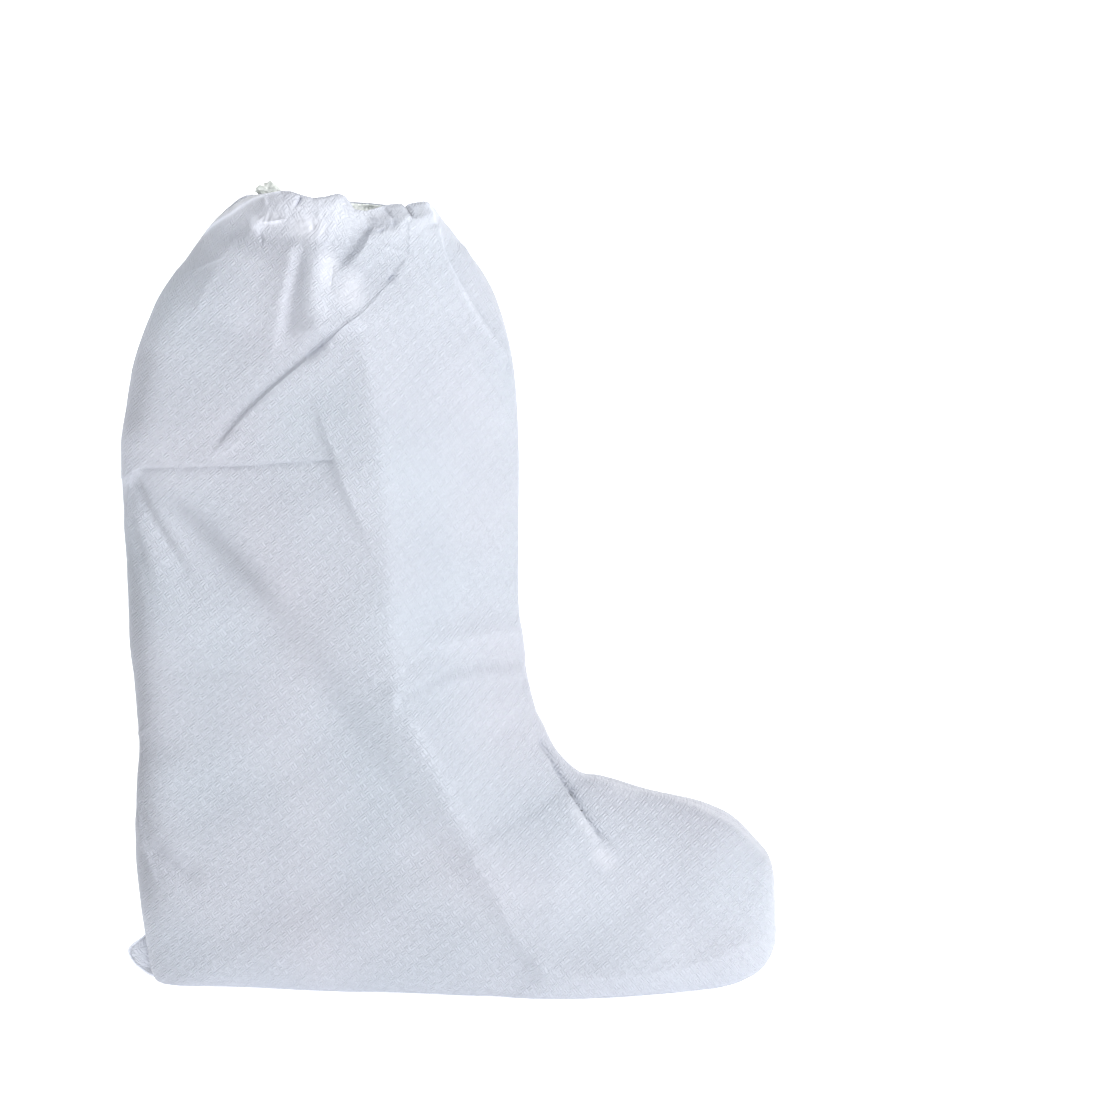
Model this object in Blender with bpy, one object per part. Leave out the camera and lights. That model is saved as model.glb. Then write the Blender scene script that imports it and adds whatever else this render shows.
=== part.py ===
# A knee-high boot cover of coated nonwoven fabric, in the shape of the leg and foot that fill it:
# two sewn side panels that meet along the centre plane, and an elastic band that gathers the top.
# Metres, +Z up, toe towards +X. The foot stands at the origin, on the inner face of the sole.

import bmesh
import bpy
import numpy as np

LEG_HEIGHT = 0.300  # from the throat of the instep up to the top edge
INSTEP_HEIGHT = 0.157  # from the sole up to the throat
BACK_REACH = 0.119  # from the leg's axis to its back edge
FRONT_REACH = 0.109  # from the leg's axis to its front edge
TOE_REACH = 0.149  # from the leg's front edge to the toe
LEG_DEPTH = 0.108  # across the leg, side to side
FOOT_WIDTH = 0.128  # across the ball of the foot
OPENING_BACK = 0.046  # from the leg's axis to the back of the gathered opening
OPENING_FRONT = 0.060
OPENING_DEPTH = 0.072
WALL = 0.0012
SEAM_GAP = 0.0003  # between the two panels at the centre plane
ELASTIC_WIDTH = 0.009
ELASTIC_THICKNESS = 0.0014
ELASTIC_DROP = 0.0015  # from the top edge down to the band
ELASTIC_CLEARANCE = 0.0004
BAND_MARGIN = 0.007  # below the band, before a fold may press in
EAR_REACH = 0.016  # how far the far panel's seam corner sticks out behind the heel
GATHER_DEPTH = 0.0024  # of the small gathers at the top edge
GATHER_FADE = 0.018  # how far down they run
GATHERS_PER_PANEL = 7
GATHER_UNEVENNESS = 0.25  # share of their depth that comes and goes
GATHER_DRIFT = 1.4  # times round the panel
SEAM_EASE = 0.012  # folds die out within this distance of a seam
SOLE_BEND = 0.003

FRONT_COLUMNS = 11  # cells from the front seam to the ridge
SIDE_COLUMNS = 13  # cells from the ridge to the corner at the back or at the sole
SOLE_COLUMNS = 6  # cells from that corner to the back or sole seam
ROWS_PER_SECTION = 2
BAND_STEPS = 56

# Sections from the top edge down the leg, fanning round the instep to the toe. Each one runs from a
# point on the front seam to a point on the back or sole seam. The x columns are -1 at the back of the
# leg, 1 at its front and 2 at the toe. The z columns are 0 at the sole, 1 at the throat and 2 at the top.
# gather: 1 where the section is drawn in to the opening. leg, foot: shares of the two half widths.
# ridge: where along the section it is widest. front_end, back_end: the width left at the seams before
# they round off, with a larger power for a tighter corner. ear: share of the seam corner's reach.
SECTION_COLUMNS = (
    "gather", "front_x", "front_z", "back_x", "back_z", "leg", "foot",
    "ridge", "front_end", "back_end", "power", "ear",
)  # fmt: skip
SECTIONS = {
    "rim": (1.00, 1.00, 1.962, -1.00, 1.995, 1.0, 0.0, 0.46, 1.00, 1.00, 2.0, 0.0),
    "hem": (0.89, 1.01, 1.94, -0.96, 1.98, 1.0, 0.0, 0.46, 0.96, 0.96, 2.0, 0.0),
    "neck": (0.70, 0.99, 1.91, -0.97, 1.94, 1.0, 0.0, 0.45, 0.80, 0.85, 2.1, 0.0),
    "shoulder": (0.42, 1.00, 1.85, -0.97, 1.85, 1.0, 0.0, 0.42, 0.52, 0.66, 2.3, 0.0),
    "upper_calf": (0.22, 1.00, 1.78, -0.965, 1.78, 1.0, 0.0, 0.38, 0.34, 0.52, 2.6, 0.0),
    "calf": (0.06, 1.00, 1.67, -0.975, 1.66, 1.0, 0.0, 0.33, 0.20, 0.42, 3.2, 0.0),
    "mid_calf": (0.00, 1.00, 1.52, -1.00, 1.50, 1.0, 0.0, 0.30, 0.14, 0.35, 4.0, 0.0),
    "shin": (0.00, 1.00, 1.35, -0.985, 1.33, 1.0, 0.0, 0.29, 0.12, 0.31, 4.5, 0.0),
    "lower_shin": (0.00, 1.00, 1.21, -0.96, 1.14, 1.0, 0.0, 0.29, 0.12, 0.30, 4.5, 0.0),
    "ankle": (0.00, 1.03, 1.08, -0.93, 0.89, 1.0, 0.0, 0.29, 0.14, 0.30, 4.5, 0.0),
    "throat": (0.00, 1.09, 0.96, -0.95, 0.51, 0.9, 0.09, 0.28, 0.18, 0.34, 4.5, 0.0),
    "instep": (0.00, 1.15, 0.855, -0.895, 0.21, 0.75, 0.24, 0.28, 0.20, 0.40, 4.5, 0.35),
    "heel": (0.00, 1.24, 0.775, -0.83, 0.02, 0.55, 0.43, 0.30, 0.22, 0.48, 4.5, 1.0),
    "heel_pad": (0.00, 1.32, 0.755, -0.52, -0.02, 0.35, 0.63, 0.36, 0.24, 0.56, 5.0, 0.3),
    "arch": (0.00, 1.47, 0.715, 0.04, -0.03, 0.15, 0.84, 0.50, 0.28, 0.70, 6.0, 0.0),
    "waist": (0.00, 1.63, 0.68, 0.62, -0.03, 0.05, 0.94, 0.70, 0.32, 0.84, 7.0, 0.0),
    "ball": (0.00, 1.76, 0.64, 1.08, -0.03, 0.0, 1.0, 0.82, 0.38, 0.92, 8.0, 0.0),
    "tread": (0.00, 1.85, 0.575, 1.42, -0.03, 0.0, 0.86, 0.80, 0.46, 0.92, 8.0, 0.0),
    "toe_box": (0.00, 1.94, 0.50, 1.73, -0.01, 0.0, 0.63, 0.72, 0.58, 0.90, 6.0, 0.0),
    "toe_cap": (0.00, 1.98, 0.41, 1.90, 0.025, 0.0, 0.43, 0.60, 0.75, 0.85, 4.0, 0.0),
    "toe_curve": (0.00, 1.995, 0.33, 1.975, 0.085, 0.0, 0.22, 0.52, 0.90, 0.90, 2.8, 0.0),
    "toe_tip": (0.00, 2.00, 0.26, 2.00, 0.155, 0.0, 0.0, 0.50, 1.00, 1.00, 2.0, 0.0),
}

# Folds and dents, each on a line across the side view, with x and z as in the sections. Height is
# out of the cloth in metres, above and below are its half widths on the two sides of the line,
# bow is the line's sag as a share of its length, sharp is 1 for a crease and 2 for a soft wave,
# and start and end are the shares of the line over which it fades in and out.
FOLD_COLUMNS = ("x0", "z0", "x1", "z1", "bow", "height", "above", "below", "sharp", "start", "end")
NEAR_FOLDS = {
    "fan_valley": (-0.90, 1.47, 0.86, 0.42, 0.06, -0.0065, 0.024, 0.020, 2, 0.35, 0.30),
    "fan_branch": (-0.96, 1.45, -0.60, 1.10, 0.00, -0.0025, 0.010, 0.012, 2, 0.30, 0.50),
    "upper_crease": (-1.00, 1.47, 0.30, 1.49, 0.00, -0.0014, 0.010, 0.010, 1, 0.05, 0.40),
    "lower_crease": (-0.90, 1.09, 0.30, 1.11, 0.00, -0.0009, 0.009, 0.009, 1, 0.10, 0.40),
    "ankle_valley": (0.36, 1.04, 1.04, 1.11, -0.04, -0.0050, 0.006, 0.011, 2, 0.25, 0.15),
    "ankle_roll": (0.34, 1.09, 1.04, 1.16, -0.04, 0.0030, 0.008, 0.006, 2, 0.30, 0.20),
    "instep_slit": (1.10, 0.90, 1.36, 0.52, 0.00, -0.0040, 0.007, 0.006, 1, 0.25, 0.30),
    "flap_top": (0.36, 1.97, 0.37, 1.84, 0.00, -0.0060, 0.003, 0.018, 2, 0.00, 0.20),
    "flap_edge": (0.38, 1.87, -0.55, 1.52, 0.05, -0.0060, 0.022, 0.005, 2, 0.10, 0.60),
    "recess": (-0.03, 1.97, -0.02, 1.74, 0.00, -0.0060, 0.010, 0.010, 2, 0.10, 0.50),
    "left_pleat": (-0.16, 1.96, -0.30, 1.66, 0.04, 0.0060, 0.010, 0.012, 2, 0.00, 0.60),
    "back_tuck": (-0.30, 1.97, -0.70, 1.80, -0.10, -0.0045, 0.010, 0.007, 2, 0.10, 0.40),
    "back_pleat": (-0.36, 1.85, -0.72, 1.72, 0.00, 0.0035, 0.009, 0.009, 2, 0.30, 0.40),
    "front_pleat": (0.56, 1.96, 0.86, 1.70, -0.05, 0.0040, 0.010, 0.006, 2, 0.00, 0.60),
    "front_tuck": (0.68, 1.93, 0.94, 1.68, -0.05, -0.0030, 0.007, 0.007, 2, 0.10, 0.50),
    "shin_dent": (-0.12, 1.66, 0.32, 1.22, -0.04, -0.0030, 0.009, 0.012, 2, 0.30, 0.40),
    "heel_pucker": (-0.93, 0.78, -0.72, 0.62, 0.00, -0.0022, 0.006, 0.006, 2, 0.10, 0.50),
}
FAR_FOLDS = {
    "fan_valley": (-0.85, 1.40, 0.80, 0.50, 0.05, -0.0060, 0.024, 0.022, 2, 0.35, 0.35),
    "upper_crease": (-1.00, 1.48, 0.40, 1.48, 0.00, -0.0014, 0.010, 0.010, 1, 0.05, 0.40),
    "lower_crease": (-0.90, 1.10, 0.35, 1.10, 0.00, -0.0009, 0.009, 0.009, 1, 0.10, 0.40),
    "ankle_valley": (0.42, 1.02, 1.04, 1.08, -0.04, -0.0050, 0.006, 0.011, 2, 0.25, 0.15),
    "ankle_roll": (0.40, 1.07, 1.04, 1.13, -0.04, 0.0030, 0.008, 0.006, 2, 0.30, 0.20),
    "instep_slit": (1.12, 0.88, 1.42, 0.55, 0.00, -0.0035, 0.007, 0.006, 1, 0.25, 0.30),
    "shoulder_flap": (-0.30, 1.95, 0.40, 1.58, 0.05, -0.0060, 0.005, 0.020, 2, 0.10, 0.60),
    "recess": (0.18, 1.97, 0.22, 1.76, 0.00, -0.0055, 0.010, 0.010, 2, 0.10, 0.50),
    "left_pleat": (0.02, 1.96, -0.10, 1.68, 0.04, 0.0055, 0.011, 0.011, 2, 0.00, 0.60),
    "back_tuck": (-0.32, 1.95, -0.72, 1.76, -0.08, -0.0040, 0.010, 0.008, 2, 0.10, 0.40),
    "front_pleat": (0.50, 1.96, 0.82, 1.68, -0.05, 0.0040, 0.010, 0.007, 2, 0.00, 0.60),
    "shin_dent": (0.20, 1.60, 0.10, 1.24, 0.04, -0.0028, 0.010, 0.012, 2, 0.30, 0.40),
}

# Rises and dips of the top edge. x is as in the sections, before the opening draws it in.
RISE_COLUMNS = ("x", "rise", "half_width")
NEAR_RISES = {
    "hump": (-0.08, 0.0042, 0.024),
    "dip": (0.45, -0.0034, 0.008),
    "front_hump": (0.66, 0.0030, 0.010),
}
FAR_RISES = {
    "seam_knot": (-0.80, 0.0042, 0.008),
    "middle": (0.10, 0.0010, 0.020),
}

PANELS = {
    "near_panel": {"side": -1, "ear": 0.0, "folds": NEAR_FOLDS, "rises": NEAR_RISES},
    "far_panel": {"side": 1, "ear": 1.0, "folds": FAR_FOLDS, "rises": FAR_RISES},
}
RIDGE_SOFTNESS = 0.10
DENSE_SAMPLES = 160
SEAM_CROWDING = 3  # samples crowd towards the seam, where the section turns most


def smooth(value):
    """0 below 0, 1 above 1 and an even rise between."""
    value = np.clip(value, 0.0, 1.0)
    return value * value * (3.0 - 2.0 * value)


def pressed_flat(height):
    """Heights pressed on to the sole's plane, with the bend spread over SOLE_BEND each way."""
    bend = (np.clip(height, -SOLE_BEND, SOLE_BEND) + SOLE_BEND) ** 2 / (4 * SOLE_BEND)
    return np.where(height > SOLE_BEND, height, bend)


def unit(vectors):
    return vectors / np.maximum(np.linalg.norm(vectors, axis=-1, keepdims=True), 1e-9)


def world_x(share):
    leg = np.where(share < 0, BACK_REACH, FRONT_REACH) * np.clip(share, None, 1.0)
    return leg + TOE_REACH * np.clip(share - 1.0, 0.0, None)


def world_z(share):
    return INSTEP_HEIGHT * np.clip(share, None, 1.0) + LEG_HEIGHT * np.clip(share - 1.0, 0.0, None)


def section_at(position):
    """The table's columns at a position between its rows, on a Catmull-Rom curve."""
    rows = np.array(list(SECTIONS.values()))
    last = len(rows) - 1
    start = int(min(np.floor(position), last - 1))
    t = position - start
    before, a, b, after = (rows[np.clip(start + step, 0, last)] for step in (-1, 0, 1, 2))
    square = 2 * before - 5 * a + 4 * b - after
    cube = 3 * a - before - 3 * b + after
    curve = (2 * a + (b - before) * t + square * t**2 + cube * t**3) / 2
    return dict(zip(SECTION_COLUMNS, curve, strict=True))


def seam_ends(section, ear):
    """The section's two seam points in the centre plane, as (x, z)."""
    gather = section["gather"]
    front_x = (1 - gather) * world_x(section["front_x"]) + gather * OPENING_FRONT
    back_x = (1 - gather) * world_x(section["back_x"]) - gather * OPENING_BACK
    front = np.array([front_x, world_z(section["front_z"])])
    back = np.array([back_x - ear * EAR_REACH * section["ear"], world_z(section["back_z"])])
    return front, back


def half_width(section):
    free = (LEG_DEPTH * section["leg"] + FOOT_WIDTH * section["foot"]) / 2
    return (1 - section["gather"]) * free + section["gather"] * OPENING_DEPTH / 2


def half_profile(length, width, end, power, cells, corner_cells):
    """Points from the ridge to one seam as (distance from the ridge, distance from the centre plane),
    evenly spaced up to the corner, and evenly again from the corner to the seam."""
    along = 1.0 - (1.0 - np.linspace(0.0, 1.0, DENSE_SAMPLES)) ** SEAM_CROWDING
    bend = (np.sqrt(along**2 + RIDGE_SOFTNESS**2) - RIDGE_SOFTNESS) / (
        np.sqrt(1.0 + RIDGE_SOFTNESS**2) - RIDGE_SOFTNESS
    )
    across = width * (1.0 - (1.0 - end) * bend) * (1.0 - along**power) ** (1.0 / power)
    points = np.stack([along * length, across], axis=1)
    travelled = np.concatenate([[0.0], np.cumsum(np.linalg.norm(np.diff(points, axis=0), axis=1))])
    corner = np.interp(0.5 ** (1.0 / power), along, travelled) if corner_cells else travelled[-1]
    wanted = np.linspace(0.0, corner, cells + 1)
    if corner_cells:
        wanted = np.concatenate([wanted, np.linspace(corner, travelled[-1], corner_cells + 1)[1:]])
    return np.stack([np.interp(wanted, travelled, points[:, axis]) for axis in (0, 1)], axis=1)


def section_points(position, side, ear):
    """One section of a panel, from the front seam round the side to the back or sole seam."""
    section = section_at(position)
    front, back = seam_ends(section, ear)
    chord = np.linalg.norm(back - front)
    width = max(half_width(section), 0.0)
    ridge = section["ridge"] * chord
    power = section["power"]
    to_front = half_profile(ridge, width, section["front_end"], power, FRONT_COLUMNS, 0)[::-1]
    to_back = half_profile(chord - ridge, width, section["back_end"], power, SIDE_COLUMNS, SOLE_COLUMNS)
    along = np.concatenate([ridge - to_front[:, 0], ridge + to_back[1:, 0]])
    across = np.concatenate([to_front[:, 1], to_back[1:, 1]])
    direction = (back - front) / chord
    points = np.empty((len(along), 3))
    points[:, 0] = front[0] + direction[0] * along
    points[:, 1] = side * (across + SEAM_GAP / 2)
    points[:, 2] = pressed_flat(front[1] + direction[1] * along)
    return points


def surface_normals(points, side):
    across = np.gradient(points, axis=1)
    down = np.gradient(points, axis=0)
    return unit(side * np.cross(down, across))


def distance_along(points, axis):
    """Distance from the first row or column of points, along that axis of the grid."""
    steps = np.linalg.norm(np.diff(points, axis=axis), axis=-1)
    start = np.zeros_like(np.take(steps, [0], axis=axis))
    return np.concatenate([start, np.cumsum(steps, axis=axis)], axis=axis)


def fold_heights(points, folds):
    height = np.zeros(points.shape[:2])
    for values in folds.values():
        fold = dict(zip(FOLD_COLUMNS, values, strict=True))
        start = np.array([world_x(fold["x0"]), world_z(fold["z0"])])
        end = np.array([world_x(fold["x1"]), world_z(fold["z1"])])
        length = np.linalg.norm(end - start)
        direction = (end - start) / length
        offset = points[..., [0, 2]] - start
        along = offset @ direction / length
        aside = offset @ np.array([-direction[1], direction[0]])
        aside = aside - fold["bow"] * length * 4 * along * (1 - along)
        spread = np.where(aside > 0, fold["above"], fold["below"])
        profile = np.exp(-(np.abs(aside / spread) ** fold["sharp"]))
        fade_in = smooth(along / fold["start"]) if fold["start"] else 1.0
        height += fold["height"] * profile * fade_in * smooth((1 - along) / fold["end"])
    return height


def gather_heights(points, below_top):
    around = np.linspace(0.0, 1.0, points.shape[1])[None, :]
    wave = 0.5 - 0.5 * np.cos(2 * np.pi * GATHERS_PER_PANEL * around)
    uneven = 1.0 - GATHER_UNEVENNESS * (1.0 - np.sin(GATHER_DRIFT * 2 * np.pi * around))
    return GATHER_DEPTH * wave * uneven * np.exp(-((below_top / GATHER_FADE) ** 2))


def rim_rise(points, below_top, rises):
    lift = np.zeros(points.shape[:2])
    middle = (OPENING_FRONT - OPENING_BACK) / 2
    half = (OPENING_FRONT + OPENING_BACK) / 2
    for values in rises.values():
        rise = dict(zip(RISE_COLUMNS, values, strict=True))
        centre = middle + half * rise["x"]
        lift += rise["rise"] * np.exp(-(((points[..., 0] - centre) / rise["half_width"]) ** 2))
    return lift * np.exp(-((below_top / GATHER_FADE) ** 2))


def base_grid(side, ear):
    rows = ROWS_PER_SECTION * (len(SECTIONS) - 1) + 1
    return np.stack([section_points(row / ROWS_PER_SECTION, side, ear) for row in range(rows)])


def outer_grid(panel):
    """The panel's outer surface: the sections, with the folds and gathers raised out of them."""
    side = panel["side"]
    base = base_grid(side, panel["ear"])
    below_top = distance_along(base, 0)
    from_front = distance_along(base, 1)
    from_back = from_front[:, -1:] - from_front
    ease = smooth(from_front / SEAM_EASE) * smooth(from_back / SEAM_EASE)
    height = fold_heights(base, panel["folds"])
    banded = ELASTIC_DROP + ELASTIC_WIDTH + BAND_MARGIN
    clear_of_band = smooth((below_top - banded) / banded)
    height = np.maximum(height, 0.0) + np.minimum(height, 0.0) * clear_of_band
    height = (height + gather_heights(base, below_top)) * ease
    points = base + surface_normals(base, side) * height[..., None]
    points[..., 2] += rim_rise(base, below_top, panel["rises"])
    points[..., 1] = side * np.maximum(side * points[..., 1], SEAM_GAP / 2)
    points[..., 2] = np.maximum(points[..., 2], 0.0)
    return points


def seam_inward(points):
    """Directions in the centre plane from the seam line into the panel, for the edge cells."""
    edge = np.concatenate([points[:, 0], points[-1, 1:-1], points[::-1, -1]])[:, [0, 2]]
    along = unit(np.gradient(edge, axis=0))
    inward = np.stack([along[:, 1], -along[:, 0]], axis=1)
    middle = points[len(points) // 2, [0, -1]][:, [0, 2]]
    if np.dot(inward[len(points) // 2], middle[1] - middle[0]) < 0:
        inward = -inward
    return inward


def inner_grid(outer, side):
    """The outer surface moved in by the wall, with its seam edges kept flat on the centre plane."""
    inner = outer - WALL * surface_normals(outer, side)
    in_plane = seam_inward(outer)
    inward = np.zeros((len(in_plane), 3))
    inward[:, [0, 2]] = WALL * in_plane
    rows, columns = outer.shape[:2]
    inner[:, 0] = outer[:, 0] + inward[:rows]
    inner[-1, 1:-1] = outer[-1, 1:-1] + inward[rows : rows + columns - 2]
    inner[:, -1] = outer[:, -1] + inward[rows + columns - 2 :][::-1]
    inner[..., 1] = side * np.maximum(side * inner[..., 1], SEAM_GAP / 2)
    on_sole = outer[..., 2] <= 0.0
    inner[..., 2] = np.where(on_sole, WALL, np.maximum(inner[..., 2], WALL))
    return inner


def fabric(name, colour, roughness):
    material = bpy.data.materials.new(name)
    material.use_nodes = True
    shader = material.node_tree.nodes["Principled BSDF"]
    shader.inputs["Base Color"].default_value = (*colour, 1.0)
    shader.inputs["Roughness"].default_value = roughness
    shader.inputs["Metallic"].default_value = 0.0
    return material


def finish_object(name, bm, material, collection):
    bmesh.ops.recalc_face_normals(bm, faces=bm.faces)
    if bm.calc_volume(signed=True) < 0:
        bmesh.ops.reverse_faces(bm, faces=bm.faces)
    mesh = bpy.data.meshes.new(name)
    bm.to_mesh(mesh)
    bm.free()
    mesh.shade_smooth()
    mesh.materials.append(material)
    built = bpy.data.objects.new(name, mesh)
    collection.objects.link(built)
    return built


def panel_object(name, panel, material, collection):
    """A flat slab of cells, extruded to a second layer, whose two layers take the panel's two faces."""
    outer = outer_grid(panel)
    inner = inner_grid(outer, panel["side"])
    rows, columns = outer.shape[:2]
    bm = bmesh.new()
    bmesh.ops.create_grid(bm, x_segments=rows - 1, y_segments=columns - 1, size=1.0)
    layer = bmesh.ops.extrude_face_region(bm, geom=bm.faces[:], use_keep_orig=True)["geom"]
    lifted = {item for item in layer if isinstance(item, bmesh.types.BMVert)}
    for vertex in bm.verts:
        row = round((vertex.co.x + 1) / 2 * (rows - 1))
        column = round((vertex.co.y + 1) / 2 * (columns - 1))
        place = inner[row, column] if vertex in lifted else outer[row, column]
        vertex.co = (place[0], place[1], place[2] - WALL)
    return finish_object(name, bm, material, collection)


def band_ring(drop, inset):
    """A closed loop inside the gathered top, at a drop below the edge and an inset from the cloth."""
    loop = []
    for side in (-1, 1):
        base = base_grid(side, 0.0)
        normals = surface_normals(base, side)
        below_top = distance_along(base, 0)
        half = np.empty((base.shape[1], 3))
        for column in range(base.shape[1]):
            row = np.interp(drop, below_top[:, column], np.arange(len(base)))
            low = int(row)
            share = row - low
            place = (1 - share) * base[low, column] + share * base[low + 1, column]
            normal = (1 - share) * normals[low, column] + share * normals[low + 1, column]
            if column in (0, base.shape[1] - 1):
                place[1] = 0.0
                normal[1] = 0.0
            half[column] = place - inset * unit(normal)
        loop.append(half if side < 0 else half[::-1])
    ring = np.concatenate([loop[0], loop[1][1:]])
    travelled = distance_along(ring[:, None, :], 0)[:, 0]
    wanted = np.linspace(0.0, travelled[-1], BAND_STEPS + 1)[:-1]
    return np.stack([np.interp(wanted, travelled, ring[:, axis]) for axis in range(3)], axis=1)


def band_object(name, material, collection):
    """A strip spun into a ring, whose points then take the gathered opening's own path."""
    outside = WALL + ELASTIC_CLEARANCE
    inside = outside + ELASTIC_THICKNESS
    low = ELASTIC_DROP + ELASTIC_WIDTH
    rings = {
        (2, 1): band_ring(ELASTIC_DROP, outside),
        (1, 1): band_ring(ELASTIC_DROP, inside),
        (2, 0): band_ring(low, outside),
        (1, 0): band_ring(low, inside),
    }
    bm = bmesh.new()
    corners = [bm.verts.new((radius, 0.0, height)) for radius, height in ((1, 0), (2, 0), (2, 1), (1, 1))]
    strip = [bm.edges.new((corners[index], corners[(index + 1) % 4])) for index in range(4)]
    bmesh.ops.spin(
        bm,
        geom=corners + strip,
        cent=(0, 0, 0),
        axis=(0, 0, 1),
        angle=2 * np.pi,
        steps=BAND_STEPS,
        use_merge=True,
    )
    for vertex in bm.verts:
        turn = np.arctan2(vertex.co.y, vertex.co.x) / (2 * np.pi) % 1.0
        corner = (round(vertex.co.xy.length), round(vertex.co.z))
        place = rings[corner][round(turn * BAND_STEPS) % BAND_STEPS]
        vertex.co = (place[0], place[1], place[2] - WALL)
    return finish_object(name, bm, material, collection)


def main():
    for old in list(bpy.data.objects):
        bpy.data.objects.remove(old, do_unlink=True)
    collection = bpy.data.collections.new("boot_cover")
    bpy.context.scene.collection.children.link(collection)
    cloth = fabric("coated_nonwoven", (0.86, 0.87, 0.90), 0.55)
    elastic = fabric("shirred_elastic", (0.74, 0.76, 0.74), 0.75)
    for name, panel in PANELS.items():
        panel_object(name, panel, cloth, collection)
    band_object("top_elastic", elastic, collection)


main()
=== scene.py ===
import math

import bmesh
import bpy
import numpy as np
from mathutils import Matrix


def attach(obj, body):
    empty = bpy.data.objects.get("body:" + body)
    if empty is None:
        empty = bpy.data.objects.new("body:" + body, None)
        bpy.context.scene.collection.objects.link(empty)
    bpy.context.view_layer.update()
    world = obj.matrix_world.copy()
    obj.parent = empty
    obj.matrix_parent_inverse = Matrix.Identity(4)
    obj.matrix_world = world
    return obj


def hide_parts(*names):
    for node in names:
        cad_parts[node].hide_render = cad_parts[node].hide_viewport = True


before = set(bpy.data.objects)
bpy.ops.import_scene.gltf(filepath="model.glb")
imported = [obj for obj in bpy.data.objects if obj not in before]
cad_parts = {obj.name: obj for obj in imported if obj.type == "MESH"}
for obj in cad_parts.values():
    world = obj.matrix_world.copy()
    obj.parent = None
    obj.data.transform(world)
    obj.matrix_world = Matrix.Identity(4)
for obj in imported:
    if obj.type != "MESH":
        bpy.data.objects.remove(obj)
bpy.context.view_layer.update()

# The camera, and the scale of the picture, 1100 points square, that the fold lines are read in.
cameraSettings = {
    "target": (0.127, 0.0, 0.2502),
    "elevation": 7.0,
    "distance": 3.0,
    "focalPoints": 5208.3,
    "picture": 1100,
    "sensor": 36.0,
    "clipEnd": 50.0,
    "millimetresPerPoint": 0.57,
}

# The cover's own sizes, as in the CAD source.
coverSettings = {
    "legHeight": 0.300,
    "instepHeight": 0.157,
    "backReach": 0.119,
    "frontReach": 0.109,
    "toeReach": 0.149,
    "legDepth": 0.108,
    "footWidth": 0.128,
    "openingBack": 0.046,
    "openingFront": 0.060,
    "openingDepth": 0.072,
    "wall": 0.0012,
    "seamGap": 0.0003,
    "soleBend": 0.003,
    "seamEase": 0.006,
    "legRidgeEase": 0.0050,
    "footRidgeEase": 0.0012,
    "ridgeEaseSpan": (0.6, 1.0),
    "profileSamples": 240,
    "seamCrowding": 3,
    "seamSmoothing": 4,
}

# Rows from the top edge round to the toe, as (first section, last section, cells), and columns from
# the front seam to the widest line, on to the corner, and on to the back or sole seam.
meshSettings = {
    "rowBands": ((0, 4, 72), (4, 8, 104), (8, 12, 76), (12, 21, 72)),
    "columnBands": (74, 122, 40),
}

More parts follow.
